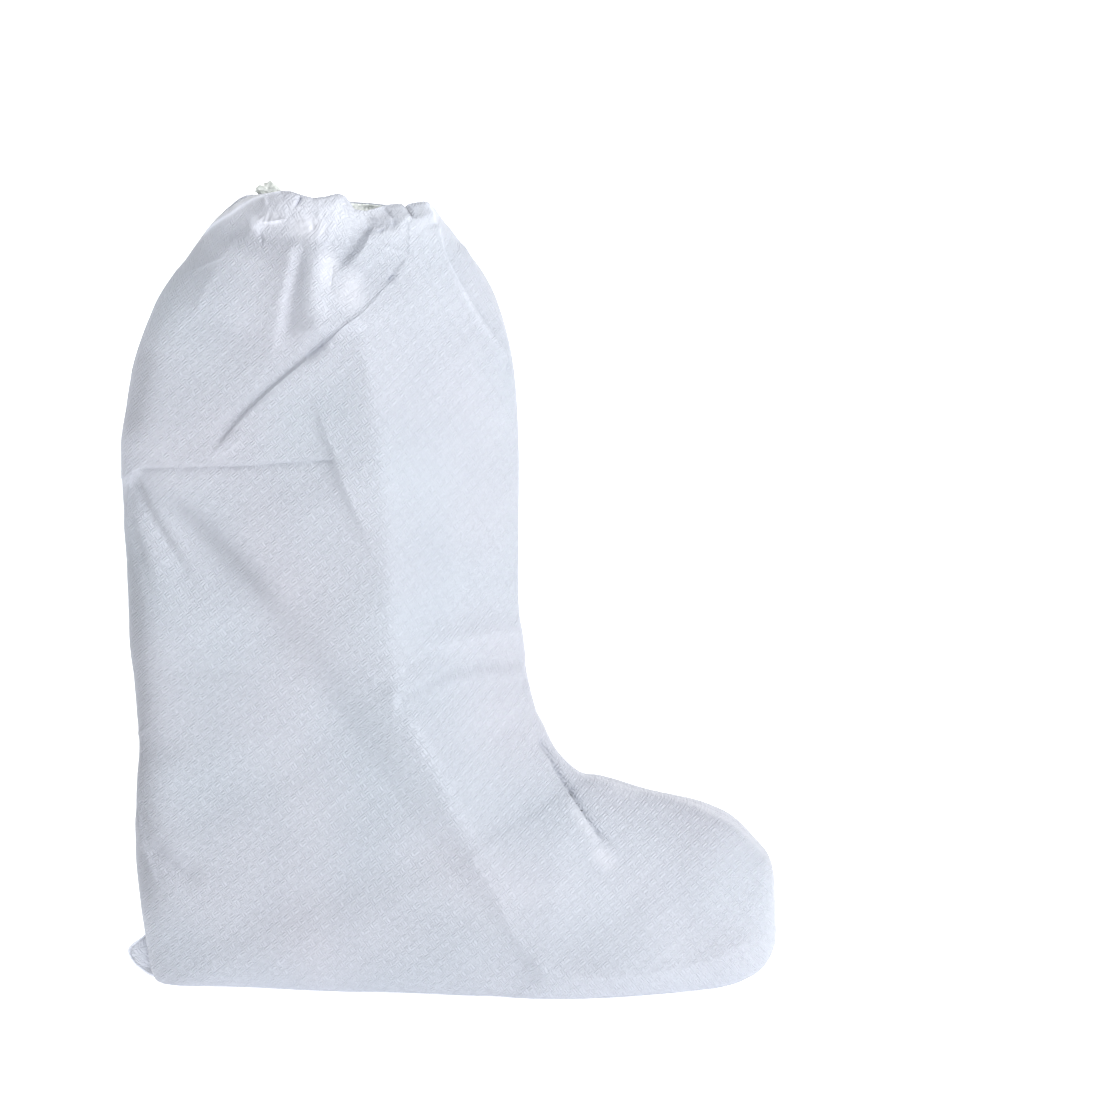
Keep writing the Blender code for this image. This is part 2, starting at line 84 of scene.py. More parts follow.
# Sections down the leg, fanning round the instep to the toe, in shares of the sizes above. The x
# columns are -1 at the back of the leg, 1 at its front and 2 at the toe, and the z columns are 0 at
# the sole, 1 at the throat and 2 at the top.
sectionColumns = (
    "gather", "frontX", "frontZ", "backX", "backZ", "leg", "foot",
    "ridge", "frontEnd", "backEnd", "power",
)  # fmt: skip
sections = {
    "rim": (1.00, 1.00, 1.962, -1.00, 1.995, 1.0, 0.0, 0.46, 1.00, 1.00, 2.0),
    "hem": (0.89, 1.01, 1.94, -0.96, 1.98, 1.0, 0.0, 0.46, 0.96, 0.96, 2.0),
    "neck": (0.70, 0.99, 1.91, -0.97, 1.94, 1.0, 0.0, 0.45, 0.80, 0.85, 2.1),
    "shoulder": (0.42, 1.00, 1.85, -0.97, 1.85, 1.0, 0.0, 0.44, 0.52, 0.66, 2.3),
    "upperCalf": (0.22, 1.00, 1.78, -0.965, 1.78, 1.0, 0.0, 0.42, 0.34, 0.52, 2.6),
    "calf": (0.06, 1.00, 1.67, -0.975, 1.66, 1.0, 0.0, 0.38, 0.20, 0.42, 3.2),
    "midCalf": (0.00, 1.00, 1.52, -1.00, 1.50, 1.0, 0.0, 0.345, 0.14, 0.35, 4.0),
    "shin": (0.00, 1.00, 1.35, -0.985, 1.33, 1.0, 0.0, 0.335, 0.12, 0.31, 4.5),
    "lowerShin": (0.00, 1.00, 1.21, -0.96, 1.14, 1.0, 0.0, 0.33, 0.12, 0.30, 4.5),
    "ankle": (0.00, 1.03, 1.08, -0.93, 0.89, 1.0, 0.0, 0.315, 0.14, 0.30, 4.5),
    "throat": (0.00, 1.09, 0.96, -0.95, 0.51, 0.9, 0.09, 0.265, 0.18, 0.34, 4.5),
    "instep": (0.00, 1.15, 0.855, -0.91, 0.21, 0.75, 0.24, 0.255, 0.20, 0.40, 4.5),
    "heel": (0.00, 1.24, 0.775, -0.845, 0.0, 0.55, 0.43, 0.265, 0.22, 0.48, 4.5),
    "heelPad": (0.00, 1.32, 0.755, -0.58, -0.02, 0.35, 0.63, 0.32, 0.24, 0.56, 5.0),
    "arch": (0.00, 1.47, 0.715, 0.04, -0.03, 0.15, 0.84, 0.465, 0.28, 0.70, 6.0),
    "waist": (0.00, 1.63, 0.68, 0.62, -0.03, 0.05, 0.94, 0.68, 0.32, 0.84, 7.0),
    "ball": (0.00, 1.76, 0.633, 1.08, -0.03, 0.0, 1.0, 0.82, 0.38, 0.92, 8.0),
    "tread": (0.00, 1.85, 0.584, 1.42, -0.03, 0.0, 0.86, 0.80, 0.46, 0.92, 8.0),
    "toeBox": (0.00, 1.94, 0.497, 1.73, -0.01, 0.0, 0.63, 0.72, 0.58, 0.90, 6.0),
    "toeCap": (0.00, 1.98, 0.435, 1.90, 0.025, 0.0, 0.43, 0.60, 0.75, 0.85, 4.0),
    "toeCurve": (0.00, 1.995, 0.33, 1.975, 0.085, 0.0, 0.22, 0.52, 0.90, 0.90, 2.8),
    "toeTip": (0.00, 2.00, 0.26, 2.00, 0.155, 0.0, 0.0, 0.50, 1.00, 1.00, 2.0),
}

# Folds as lines in picture points, then the height out of the cloth and the half widths on the
# traveller's left and right, in millimetres, the sharpness (1 a crease, 2 a soft wave), and the
# shares of the line over which it fades in and out.
foldColumns = ("height", "left", "right", "sharp", "start", "end")
nearFolds = {
    "flapEdge": (
        ((408, 200), (409, 240), (407, 257), (393, 277), (366, 308), (344, 328)),
        0.9, 20, 0.4, 1.5, 0.0, 0.1,
    ),
    "flapUnder": (
        ((350, 322), (322, 346), (300, 364), (280, 380), (260, 399), (240, 418), (222, 440),
         (208, 457)),
        -1.9, 0.5, 5.5, 1.5, 0.15, 0.2,
    ),
    "flapLow": (
        ((362, 312), (340, 331), (322, 346), (300, 364), (280, 380), (260, 399), (240, 418),
         (222, 440), (208, 457)),
        1.5, 22, 0.45, 1.5, 0.15, 0.25,
    ),
    "flapTip": (((205, 458), (228, 449), (244, 434)), 1.3, 0.8, 2.4, 1.4, 0.2, 0.4),
    "flapGap": (((304, 356), (316, 349), (328, 341)), -1.8, 0.9, 2.6, 1.5, 0.3, 0.3),
    "flapSpot": (((388, 281), (396, 273)), -2.4, 0.8, 1.2, 1.5, 0.3, 0.3),
    "ridgeCrest": (
        ((293, 236), (291, 262), (286, 284), (282, 310), (278, 336), (270, 356), (260, 376)),
        2.4, 4.6, 26, 1.4, 0.1, 0.35,
    ),
    "ridgeValley": (
        ((306, 244), (300, 266), (294, 300), (290, 326), (283, 352)),
        -2.2, 5.0, 3.8, 1.7, 0.15, 0.35,
    ),
    "bandCrest": (
        ((330, 238), (320, 256), (315, 278), (316, 300), (320, 322), (324, 342)),
        7.0, 19, 15.0, 1.5, 0.2, 0.15,
    ),
    "bandWrinkle": (((331, 256), (334, 270), (332, 292)), -0.6, 0.9, 1.4, 1.2, 0.3, 0.3),
    "darkStreak": (
        ((374, 221), (362, 236), (352, 250), (341, 265), (333, 273)),
        -3.6, 1.8, 4.6, 1.6, 0.15, 0.3,
    ),
    "underRim": (((364, 217), (382, 222), (403, 222)), -3.0, 1.6, 2.6, 1.6, 0.3, 0.2),
    "rimGap": (((374, 229), (380, 231), (388, 226)), -1.6, 0.8, 0.9, 1.2, 0.3, 0.3),
    "triangleRight": (((371, 231), (376, 240), (381, 248)), 1.1, 1.2, 1.2, 1.2, 0.2, 0.2),
    "triangleLeft": (((371, 231), (363, 249), (351, 262)), 1.4, 2.4, 1.0, 1.4, 0.1, 0.3),
    "arcCrease": (((378, 246), (392, 249), (408, 254)), 1.0, 1.2, 3.4, 1.4, 0.2, 0.05),
    "hemDark": (((406, 202), (410, 210), (416, 219)), -2.4, 1.0, 1.6, 1.3, 0.05, 0.2),
    "hemLight": (((423, 199), (427, 212), (433, 226)), 3.0, 2.6, 8.5, 1.2, 0.0, 0.3),
    "edgeLine": (
        ((203, 238), (216, 224), (232, 213), (245, 204), (262, 198), (284, 192)),
        1.5, 1.6, 4.6, 1.4, 0.1, 0.1,
    ),
    "smallCrease": (((260, 223), (274, 222), (288, 219)), 1.5, 1.8, 0.9, 1.3, 0.2, 0.2),
    "smallNotch": (((260, 230), (262, 239), (263, 250)), -1.1, 0.8, 0.9, 1.2, 0.2, 0.4),
    "hemTick": (((301, 196), (298, 203), (294, 209)), -2.2, 0.8, 0.8, 1.3, 0.1, 0.4),
    "hemLine": (((268, 196), (267, 206), (273, 213)), 1.1, 1.0, 1.0, 1.3, 0.1, 0.3),
    "lobeCrease": (((183, 277), (204, 268), (226, 259)), 1.0, 0.9, 3.0, 1.3, 0.2, 0.3),
    "pleatOne": (
        ((436, 222), (440, 246), (452, 272), (466, 295), (484, 322), (500, 346), (511, 364)),
        1.9, 0.9, 8.0, 1.3, 0.05, 0.1,
    ),
    "pleatTwo": (
        ((459, 240), (474, 268), (488, 292), (500, 325), (510, 362)),
        1.6, 0.9, 5.0, 1.3, 0.1, 0.1,
    ),
    "pleatNotch": (((508, 360), (506, 374)), -1.2, 0.9, 0.9, 1.2, 0.2, 0.4),
    "frontTick": (((424, 265), (428, 277)), -0.6, 0.9, 0.9, 1.2, 0.3, 0.3),
    "shadeEdge": (((350, 338), (362, 352), (367, 370), (362, 386)), 0.8, 9.0, 2.2, 1.5, 0.2, 0.35),
    "shinStreak": (
        ((306, 392), (318, 414), (330, 444), (341, 476), (353, 506), (364, 532), (376, 562)),
        1.9, 15, 1.6, 1.2, 0.25, 0.5,
    ),
    "upperCrease": (
        ((133, 469), (180, 468), (240, 467), (290, 463), (342, 460)),
        -1.5, 0.7, 1.0, 1.0, 0.03, 0.06,
    ),
    "upperFaint": (((338, 460), (408, 459)), -0.35, 0.9, 0.9, 1.0, 0.05, 0.4),
    "fanValley": (
        ((150, 500), (190, 536), (236, 586), (284, 646), (330, 706), (380, 772), (430, 838)),
        -4.6, 13, 26, 2.0, 0.25, 0.5,
    ),
    "fanLine": (
        ((300, 664), (326, 704), (370, 762), (410, 815), (440, 855), (470, 893), (500, 932),
         (524, 970), (534, 992)),
        -2.0, 12, 20, 1.1, 0.2, 0.03,
    ),
    "fanTwo": (
        ((131, 478), (140, 500), (160, 535), (184, 578), (200, 612)),
        -2.6, 4.2, 7.0, 1.7, 0.05, 0.45,
    ),
    "fanThree": (((123, 480), (131, 520), (144, 566), (160, 606)), -1.8, 3.0, 4.0, 1.7, 0.15, 0.4),
    "ridgeCrisp": (
        ((386, 680), (400, 706), (417, 732), (439, 766), (461, 802), (484, 840), (507, 879),
         (529, 920), (541, 954), (542, 990)),
        3.0, 15, 14, 1.05, 0.06, 0.06,
    ),
    "ankleCrest": (
        ((412, 648), (440, 642), (480, 634), (526, 630)),
        2.6, 6.0, 8.0, 1.8, 0.35, 0.02,
    ),
    "ankleFold": (
        ((402, 696), (424, 681), (440, 671), (466, 662), (500, 656), (526, 652)),
        2.4, 9.0, 8.0, 2.0, 0.2, 0.02,
    ),
    "ankleValley": (
        ((392, 702), (420, 700), (438, 689), (464, 681), (500, 678), (530, 680)),
        -2.4, 7.0, 9.0, 2.0, 0.08, 0.02,
    ),
    "ankleTab": (((366, 681), (386, 674), (407, 671)), 0.9, 1.0, 3.4, 1.4, 0.2, 0.1),
    "lowerCrease": (((146, 672), (240, 671), (342, 671)), -0.55, 0.9, 0.9, 1.0, 0.05, 0.2),
    "instepSlit": (
        ((538, 735), (550, 756), (562, 777), (575, 797), (590, 820), (609, 845)),
        -4.0, 0.9, 1.5, 1.4, 0.1, 0.12,
    ),
    "instepLip": (((539, 741), (556, 776), (581, 811), (603, 846)), 1.3, 0.9, 6.0, 1.3, 0.2, 0.3),
    "heelTick": (((133, 735), (149, 727)), 0.9, 0.9, 2.0, 1.3, 0.2, 0.3),
    "heelDent": (((148, 842), (172, 866), (204, 884)), -3.2, 6.0, 4.0, 1.6, 0.2, 0.3),
    "heelWrinkle": (((137, 806), (141, 832), (149, 858), (160, 886)), 1.4, 1.2, 2.4, 1.3, 0.2, 0.3),
    "toeEdge": (((688, 988), (712, 962), (738, 946), (780, 944)), 0.9, 9.0, 1.6, 1.4, 0.1, 0.1),
    "toeTop": (((560, 770), (620, 806), (690, 826), (750, 856)), -0.5, 3.0, 4.0, 1.8, 0.2, 0.3),
    "shinSoft": (
        ((330, 440), (341, 470), (353, 500), (366, 532), (378, 566)),
        1.2, 14, 5.0, 1.5, 0.3, 0.4,
    ),
    "fanUpper": (
        ((131, 472), (140, 486), (160, 503), (190, 527), (226, 560), (262, 598)),
        -3.6, 6.5, 13, 1.6, 0.04, 0.45,
    ),
    "backTurn": (
        ((196, 262), (172, 310), (156, 360), (146, 420), (134, 462)),
        2.2, 24, 12, 1.6, 0.1, 0.1,
    ),
    "lowTurn": (
        ((128, 480), (138, 540), (146, 600), (150, 680), (152, 740)),
        2.2, 22, 9.0, 1.6, 0.2, 0.2,
    ),
    "hemSlit": (((383, 202), (390, 213), (400, 224)), -2.2, 0.9, 3.0, 1.3, 0.02, 0.2),
    "facetCrest": (((238, 236), (224, 262), (210, 292), (196, 330)), 3.0, 38, 8.0, 1.5, 0.1, 0.3),
    "hemRise": (((401, 200), (405, 210), (410, 222)), 2.6, 0.9, 8.5, 1.3, 0.0, 0.25),
}  # fmt: skip
farFolds = {
    "flapEdge": (
        ((330, 190), (322, 240), (345, 300), (400, 350), (460, 400)),
        3.0, 1.0, 20, 1.6, 0.0, 0.3,
    ),
    "flapUnder": (
        ((330, 200), (322, 240), (345, 300), (400, 350), (455, 396)),
        -3.0, 8, 0.7, 1.5, 0.06, 0.3,
    ),
    "leftPleat": (((262, 196), (240, 240), (215, 300), (190, 350)), 2.2, 3.6, 8.0, 1.6, 0.1, 0.4),
    "middlePleat": (((360, 205), (372, 250), (378, 300)), 2.0, 5.0, 5.0, 1.8, 0.1, 0.4),
    "frontPleat": (((436, 222), (452, 272), (484, 322), (511, 364)), 1.0, 6.0, 0.9, 1.3, 0.05, 0.1),
    "shinStreak": (
        ((380, 380), (350, 440), (340, 500), (352, 560)),
        -1.8, 2.6, 3.0, 1.4, 0.2, 0.35,
    ),
    "upperCrease": (
        ((122, 466), (200, 466), (300, 462), (402, 460)),
        -0.9, 1.0, 1.0, 1.0, 0.03, 0.2,
    ),
    "lowerCrease": (((146, 671), (240, 670), (350, 671)), -0.6, 0.9, 0.9, 1.0, 0.05, 0.2),
    "fanValley": (
        ((150, 500), (210, 552), (290, 628), (350, 700), (420, 800), (500, 920)),
        -4.8, 13, 20, 2.0, 0.25, 0.25,
    ),
    "fanTwo": (((128, 480), (160, 530), (190, 590)), -2.0, 4.0, 6.0, 1.8, 0.15, 0.4),
    "ridgeCrisp": (((396, 690), (440, 760), (485, 845), (540, 950)), 1.3, 9.0, 1.8, 1.3, 0.1, 0.3),
    "ankleCrest": (((425, 650), (470, 640), (524, 632)), 1.2, 3.4, 4.6, 1.8, 0.35, 0.05),
    "ankleFold": (((410, 702), (450, 674), (524, 660)), 1.9, 4.0, 2.6, 1.6, 0.2, 0.05),
    "ankleValley": (((404, 708), (450, 686), (526, 684)), -2.2, 2.4, 5.5, 1.6, 0.1, 0.1),
    "instepSlit": (((552, 736), (584, 790), (620, 840)), -2.4, 1.3, 2.0, 1.1, 0.15, 0.2),
    "heelDent": (((136, 800), (170, 836), (210, 860)), -2.0, 3.4, 5.0, 1.5, 0.1, 0.4),
    "toeEdge": (((690, 986), (736, 946), (780, 944)), 0.8, 9.0, 1.6, 1.4, 0.1, 0.1),
}  # fmt: skip

# Rounded rises and dents: the middle in picture points, then the half lengths along and across in
# millimetres, the turn in degrees (clockwise in the picture), the height and the edge's squareness.
lumpColumns = ("x", "y", "along", "across", "turn", "height", "square")
nearLumps = {
    "lobe": (190, 300, 20, 9, -52, 1.0, 1.4),
    "whiteBead": (257, 223, 3.4, 4.2, 0, 1.8, 1.2),
    "hemLump": (286, 203, 8, 5.5, 0, 1.7, 1.3),
    "hemHump": (337, 212, 9, 12, 0, 1.4, 1.2),
    "bandLump": (346, 292, 8, 12, 0, 0.6, 1.2),
    "greyPatch": (377, 272, 14, 8, -40, -1.6, 1.6),
    "shadePatch": (346, 362, 12, 9, 20, -1.2, 1.3),
    "heelBlob": (163, 748, 13, 7, 10, -1.7, 1.2),
    "darkFace": (236, 228, 12, 6, -50, -1.4, 1.3),
}
farLumps = {
    "lobe": (212, 290, 20, 9, -52, 2.0, 1.4),
    "hemLump": (380, 214, 9, 6, 0, 1.6, 1.3),
    "heelBlob": (170, 740, 13, 7, 10, -1.5, 1.2),
}

# Crumpled film, as lumps are, with the width of its creases in millimetres at the end.
crumpleColumns = ("x", "y", "along", "across", "turn", "height", "crease")
nearCrumples = {
    "hemPatch": (309, 226, 13, 9, 0, 0.55, 5.0),
    "beadPatch": (272, 219, 10, 5, 0, 0.45, 3.6),
    "bandPatch": (350, 292, 8, 11, 0, 0.26, 4.0),
    "bandSide": (330, 270, 5, 12, 0, 0.26, 3.6),
    "slitSide": (586, 826, 16, 3.6, 52, 0.20, 3.6),
    "slitEnd": (604, 858, 9, 5, 45, 0.25, 3.2),
    "instepRuck": (624, 792, 10, 3.0, 15, 0.20, 3.6),
    "rimAll": (330, 210, 75, 16, 5, 0.22, 6.0),
}
farCrumples = {
    "hemPatch": (300, 224, 30, 10, 0, 0.50, 5.0),
    "rimAll": (330, 210, 75, 16, 5, 0.22, 6.0),
}

# The top edge of each panel, in picture points.
nearRim = (
    (226, 204), (240, 199), (256, 194.5), (270, 193), (282, 191), (292, 191.5), (302, 195),
    (314, 198), (326, 196.5), (338, 193.5), (345, 196), (350, 202), (354, 209), (366, 211),
    (376, 208), (382, 206), (387, 204.5), (396, 204), (402, 204.5), (405, 207.5), (408, 204),
    (414, 203), (423, 202), (432, 207), (440, 214), (449, 224),
)  # fmt: skip

# Painted light and shade, as lines in the columns of the folds: above 0 a painted highlight, glint
# or glow, given as emission where the film would shine or light would come through thin cloth;
# below 0 painted shade, which darkens the colour where folded layers would be in shade. The height
# is a share.
nearPaintedLight = {
    "rimEdge": (
        ((205, 236), (216, 225), (231, 215), (244, 206), (258, 199), (283, 192)),
        0.8, 0.95, 0.95, 1.4, 0.05, 0.05,
    ),
    "rimFace": (((205, 252), (225, 228), (250, 210)), 0.067, 9.0, 9.0, 2.0, 0.1, 0.1),
    "bead": (((254, 219), (255, 226), (262, 229)), 0.5, 2.6, 2.6, 1.8, 0.0, 0.0),
    "beadLine": (((260, 222), (272, 223), (284, 221)), 0.444, 0.9, 0.9, 1.4, 0.05, 0.2),
    "bandGlow": (((334, 200), (327, 240), (322, 270), (330, 328)), 0.36, 6.5, 7.0, 1.8, 0.1, 0.15),
    "facetGlow": (((262, 252), (250, 290), (238, 340)), 0.144, 13, 16, 1.8, 0.2, 0.3),
    "hemSheen": (((300, 220), (322, 207), (348, 204)), 0.167, 6.0, 6.0, 1.8, 0.1, 0.1),
    "stripGlow": (((297, 246), (288, 290), (272, 350)), 0.139, 2.6, 2.6, 1.8, 0.1, 0.2),
    "pleatLine": (
        ((434, 220), (441, 240), (447, 262), (472, 310), (506, 362)),
        0.278, 0.8, 0.8, 1.4, 0.05, 0.3,
    ),
    "hemFlash": (((422, 203), (428, 212), (436, 225)), 0.333, 0.9, 0.9, 1.4, 0.05, 0.2),
    "flapTip": (((205, 457), (220, 451), (231, 444), (240, 436)), 0.444, 1.2, 1.2, 1.4, 0.1, 0.3),
    "heelWrinkle": (((140, 834), (148, 855), (160, 885)), 0.194, 0.9, 0.9, 1.4, 0.2, 0.2),
    "faceLine": (((374, 246), (390, 249), (406, 255)), 0.167, 0.8, 0.8, 1.4, 0.2, 0.2),
    "lobeTop": (((198, 271), (212, 265), (234, 257)), 0.222, 0.8, 0.8, 1.4, 0.1, 0.3),
    "footGlow": (((545, 880), (610, 890), (690, 880)), 0.111, 34, 38, 2.0, 0.15, 0.15),
    "ankleGlow": (((420, 651), (470, 641), (522, 633)), 0.083, 5.0, 5.0, 1.8, 0.2, 0.02),
    "tabGlow": (((367, 677), (388, 672), (406, 670)), 0.167, 2.2, 2.2, 2.0, 0.1, 0.05),
    "backShade": (
        ((131, 482), (135, 560), (140, 650), (143, 720), (143, 800), (148, 880), (154, 940)),
        -0.38, 9.0, 9.0, 1.8, 0.2, 0.15,
    ),
    "backUpper": (((156, 345), (144, 385), (133, 440)), -0.22, 8.0, 8.0, 1.8, 0.2, 0.2),
    "hemPiece": (((391, 207), (398, 214), (404, 220)), -0.369, 4.2, 4.0, 2.2, 0.0, 0.05),
    "hemLine": (((384, 204), (390, 213), (398, 222)), -0.12, 0.7, 0.7, 1.4, 0.0, 0.1),
    "facetLine": (((404, 203), (408, 210), (412, 217)), -1.0, 1.2, 1.2, 1.6, 0.0, 0.1),
    "shadedFacet": (((415, 204), (420, 219)), -0.246, 3.8, 3.4, 2.2, 0.0, 0.05),
    "hollow": (((367, 224), (375, 219), (394, 218)), -0.38, 3.8, 4.4, 1.8, 0.15, 0.15),
    "bandShade": (((372, 226), (356, 244), (340, 266)), -0.16, 5.0, 6.0, 1.8, 0.15, 0.2),
    "hollowLine": (((360, 233), (372, 229), (385, 228)), -0.307, 0.9, 0.9, 1.4, 0.2, 0.2),
    "fanStart": (
        ((132, 474), (147, 505), (167, 540), (186, 572)),
        -0.215, 2.6, 2.4, 1.6, 0.08, 0.4,
    ),
    "fanMain": (((163, 490), (198, 525), (235, 562), (290, 625)), -0.2, 5.5, 5.5, 1.8, 0.2, 0.25),
    "slitShade": (
        ((541, 738), (553, 758), (570, 787), (590, 819), (606, 841)),
        -0.28, 0.6, 0.6, 1.3, 0.1, 0.1,
    ),
    "ankleShade": (
        ((398, 700), (424, 693), (440, 681), (470, 672), (526, 667)),
        -0.135, 4.5, 3.5, 1.8, 0.05, 0.05,
    ),
    "ridgeSheen": (((406, 710), (446, 784), (486, 855), (524, 918)), 0.07, 4.0, 4.0, 1.8, 0.1, 0.2),
}  # fmt: skip

# The far panel's seam corner behind the heel: how far out, how high, how much cloth it takes, and
# how strong the painted glow on it is, which stands in for light coming through the thin cloth into
# its shade.
earSettings = {
    "reach": 0.0122,
    "middle": 0.0160,
    "above": 0.0112,
    "below": 0.0190,
    "width": 0.014,
    "behind": -0.09,
    "thickness": 0.0016,
    "roundness": 1.5,
    "flattening": 0.97,
    "flatTo": 1.6,
    "litTo": 2.2,
    "litRise": 12.0,
    "innerShade": 0.6,
}


# The bend of the instep fades out inside the panel, between these sections.
bendSettings = {
    "first": 10.0,
    "last": 17.0,
    "fade": 1.5,
    "passes": 60,
    "clear": 0.018,
    "blend": 0.030,
}

# The swells are (height and length in millimetres, step of the seed).
reliefSettings = {
    "swells": ((0.55, 58.0, 40), (0.07, 13.0, 41)),
    "swellWaves": 9,
    "swellSpread": (0.6, 1.8),
    "creaseWaves": 6,
    "creaseSpread": (0.8, 2.2),
    "creaseBow": 0.35,
    "bowLength": 2.7,
    "bowPhase": 9,
    "creaseCalm": 3,
    "patchSquareness": 1.5,
    "fullCrumple": 0.4,
    "edgeRoll": 2.2,
    "edgeShare": 0.35,
    "foldReach": 4.5,
}

# The cells are drawn in towards the sharp folds within this reach, in millimetres, but not near the
# seams and the top edge, in metres.
crowdSettings = {
    "reach": 7.0,
    "power": 1.8,
    "below": 1.01,
    "ends": 0.06,
    "seamCalm": 0.012,
    "topCalm": 0.004,
    "passes": 5,
    "longestStep": 2,
    "leastArea": 0.15,
    "settled": 1e-6,
}

# The rim line takes the top edge with it, fading out down the leg and towards the front seam. It
# starts this many picture points before its first point.
rimSettings = {"reach": 0.020, "seamFade": 0.004, "before": 12}



def smooth(value):
    value = np.clip(value, 0.0, 1.0)
    return value * value * (3.0 - 2.0 * value)


def unit(vectors):
    return vectors / np.maximum(np.linalg.norm(vectors, axis=-1, keepdims=True), 1e-9)


def worldX(share):
    leg = np.where(share < 0, coverSettings["backReach"], coverSettings["frontReach"])
    toe = coverSettings["toeReach"] * np.clip(share - 1.0, 0.0, None)
    return leg * np.clip(share, None, 1.0) + toe


def worldZ(share):
    low = coverSettings["instepHeight"] * np.clip(share, None, 1.0)
    return low + coverSettings["legHeight"] * np.clip(share - 1.0, 0.0, None)


def pressedFlat(height):
    bend = coverSettings["soleBend"]
    pressed = (np.clip(height, -bend, bend) + bend) ** 2 / (4 * bend)
    return np.where(height > bend, height, pressed)


# The curve through four values in a row, at a share of the way from the second to the third.
def curveAt(before, a, b, after, t):
    square = 2 * before - 5 * a + 4 * b - after
    cube = 3 * a - before - 3 * b + after
    return (2 * a + (b - before) * t + square * t**2 + cube * t**3) / 2


def sectionAt(position):
    rows = np.array(list(sections.values()))
    last = len(rows) - 1
    start = int(min(np.floor(position), last - 1))
    near = [rows[np.clip(start + step, 0, last)] for step in (-1, 0, 1, 2)]
    return dict(zip(sectionColumns, curveAt(*near, position - start), strict=True))



def seamEnds(section):
    gather = section["gather"]
    frontX = (1 - gather) * worldX(section["frontX"]) + gather * coverSettings["openingFront"]
    backX = (1 - gather) * worldX(section["backX"]) - gather * coverSettings["openingBack"]
    front = np.array([frontX, worldZ(section["frontZ"])])
    return front, np.array([backX, worldZ(section["backZ"])])


def halfWidth(section):
    leg = coverSettings["legDepth"] * section["leg"]
    foot = coverSettings["footWidth"] * section["foot"]
    free = (leg + foot) / 2
    gather = section["gather"]
    return max((1 - gather) * free + gather * coverSettings["openingDepth"] / 2, 0.0)


# Points from the widest line to one seam, as (distance along, distance from the centre plane).
def halfProfile(length, width, end, power, ease, cells, cornerCells):
    even = np.linspace(0.0, 1.0, coverSettings["profileSamples"])
    along = 1.0 - (1.0 - even) ** coverSettings["seamCrowding"]
    softness = ease / length
    bend = (np.sqrt(along**2 + softness**2) - softness) / (np.sqrt(1.0 + softness**2) - softness)
    across = width * (1.0 - (1.0 - end) * bend) * (1.0 - along**power) ** (1.0 / power)
    points = np.stack([along * length, across], axis=1)
    travelled = np.concatenate([[0.0], np.cumsum(np.linalg.norm(np.diff(points, axis=0), axis=1))])
    corner = np.interp(0.5 ** (1.0 / power), along, travelled) if cornerCells else travelled[-1]
    wanted = np.linspace(0.0, corner, cells + 1)
    if cornerCells:
        wanted = np.concatenate([wanted, np.linspace(corner, travelled[-1], cornerCells + 1)[1:]])
    return np.stack([np.interp(wanted, travelled, points[:, axis]) for axis in (0, 1)], axis=1)


# One section of a panel, and the place of its points in the flat cut.
def sectionPoints(position, side):
    section = sectionAt(position)
    front, back = seamEnds(section)
    chord = np.linalg.norm(back - front)
    width = halfWidth(section)
    ridge = section["ridge"] * chord
    frontCells, sideCells, cornerCells = meshSettings["columnBands"]
    eases = (coverSettings["footRidgeEase"], coverSettings["legRidgeEase"])
    ease = np.interp(section["leg"], coverSettings["ridgeEaseSpan"], eases)
    bend = (section["power"], ease)
    toFront = halfProfile(ridge, width, section["frontEnd"], *bend, frontCells, 0)[::-1]
    toBack = halfProfile(chord - ridge, width, section["backEnd"], *bend, sideCells, cornerCells)
    along = np.concatenate([ridge - toFront[:, 0], ridge + toBack[1:, 0]])
    across = np.concatenate([toFront[:, 1], toBack[1:, 1]])
    direction = (back - front) / chord
    points = np.empty((len(along), 3))
    points[:, 0] = front[0] + direction[0] * along
    points[:, 1] = side * (across + coverSettings["seamGap"] / 2)
    points[:, 2] = pressedFlat(front[1] + direction[1] * along)
    steps = np.hypot(np.diff(along), np.diff(across))
    travelled = np.concatenate([[0.0], np.cumsum(steps)])
    travelled = travelled - travelled[frontCells] + ridge
    return points, front + direction * travelled[:, None]


def rowPositions():
    found = [0.0]
    for first, last, cells in meshSettings["rowBands"]:
        found += [first + (last - first) * step / cells for step in range(1, cells + 1)]
    return found


def surfaceNormals(points, side):
    across = np.gradient(points, axis=1)
    down = np.gradient(points, axis=0)
    return unit(side * np.cross(down, across))


def distanceAlong(points, axis):
    steps = np.linalg.norm(np.diff(points, axis=axis), axis=-1)
    start = np.zeros_like(np.take(steps, [0], axis=axis))
    return np.concatenate([start, np.cumsum(steps, axis=axis)], axis=axis)


# Where the fixed camera sees a point, in picture points. The far side is read as if mirrored.
def pictureOf(points):
    elevation = math.radians(cameraSettings["elevation"])
    forward = np.array([0.0, math.cos(elevation), -math.sin(elevation)])
    upward = np.array([0.0, math.sin(elevation), math.cos(elevation)])
    eye = np.array(cameraSettings["target"]) - forward * cameraSettings["distance"]
    mirrored = points.copy()
    mirrored[..., 1] = -np.abs(points[..., 1])
    mirrored[..., 2] -= coverSettings["wall"]
    seen = mirrored - eye
    depth = seen @ forward
    middle = cameraSettings["picture"] / 2
    right = middle + cameraSettings["focalPoints"] * seen[..., 0] / depth
    below = middle - cameraSettings["focalPoints"] * (seen @ upward) / depth
    return np.stack([right, below], axis=-1)


# The line through the points, rounded at its corners.
def roundedLine(points):
    points = np.array(points, float)
    if len(points) < 3:
        return points
    padded = np.concatenate([[2 * points[0] - points[1]], points, [2 * points[-1] - points[-2]]])
    found = [points[0]]
    for index in range(len(points) - 1):
        found += [curveAt(*padded[index : index + 4], t) for t in (0.25, 0.5, 0.75, 1.0)]
    return np.array(found)


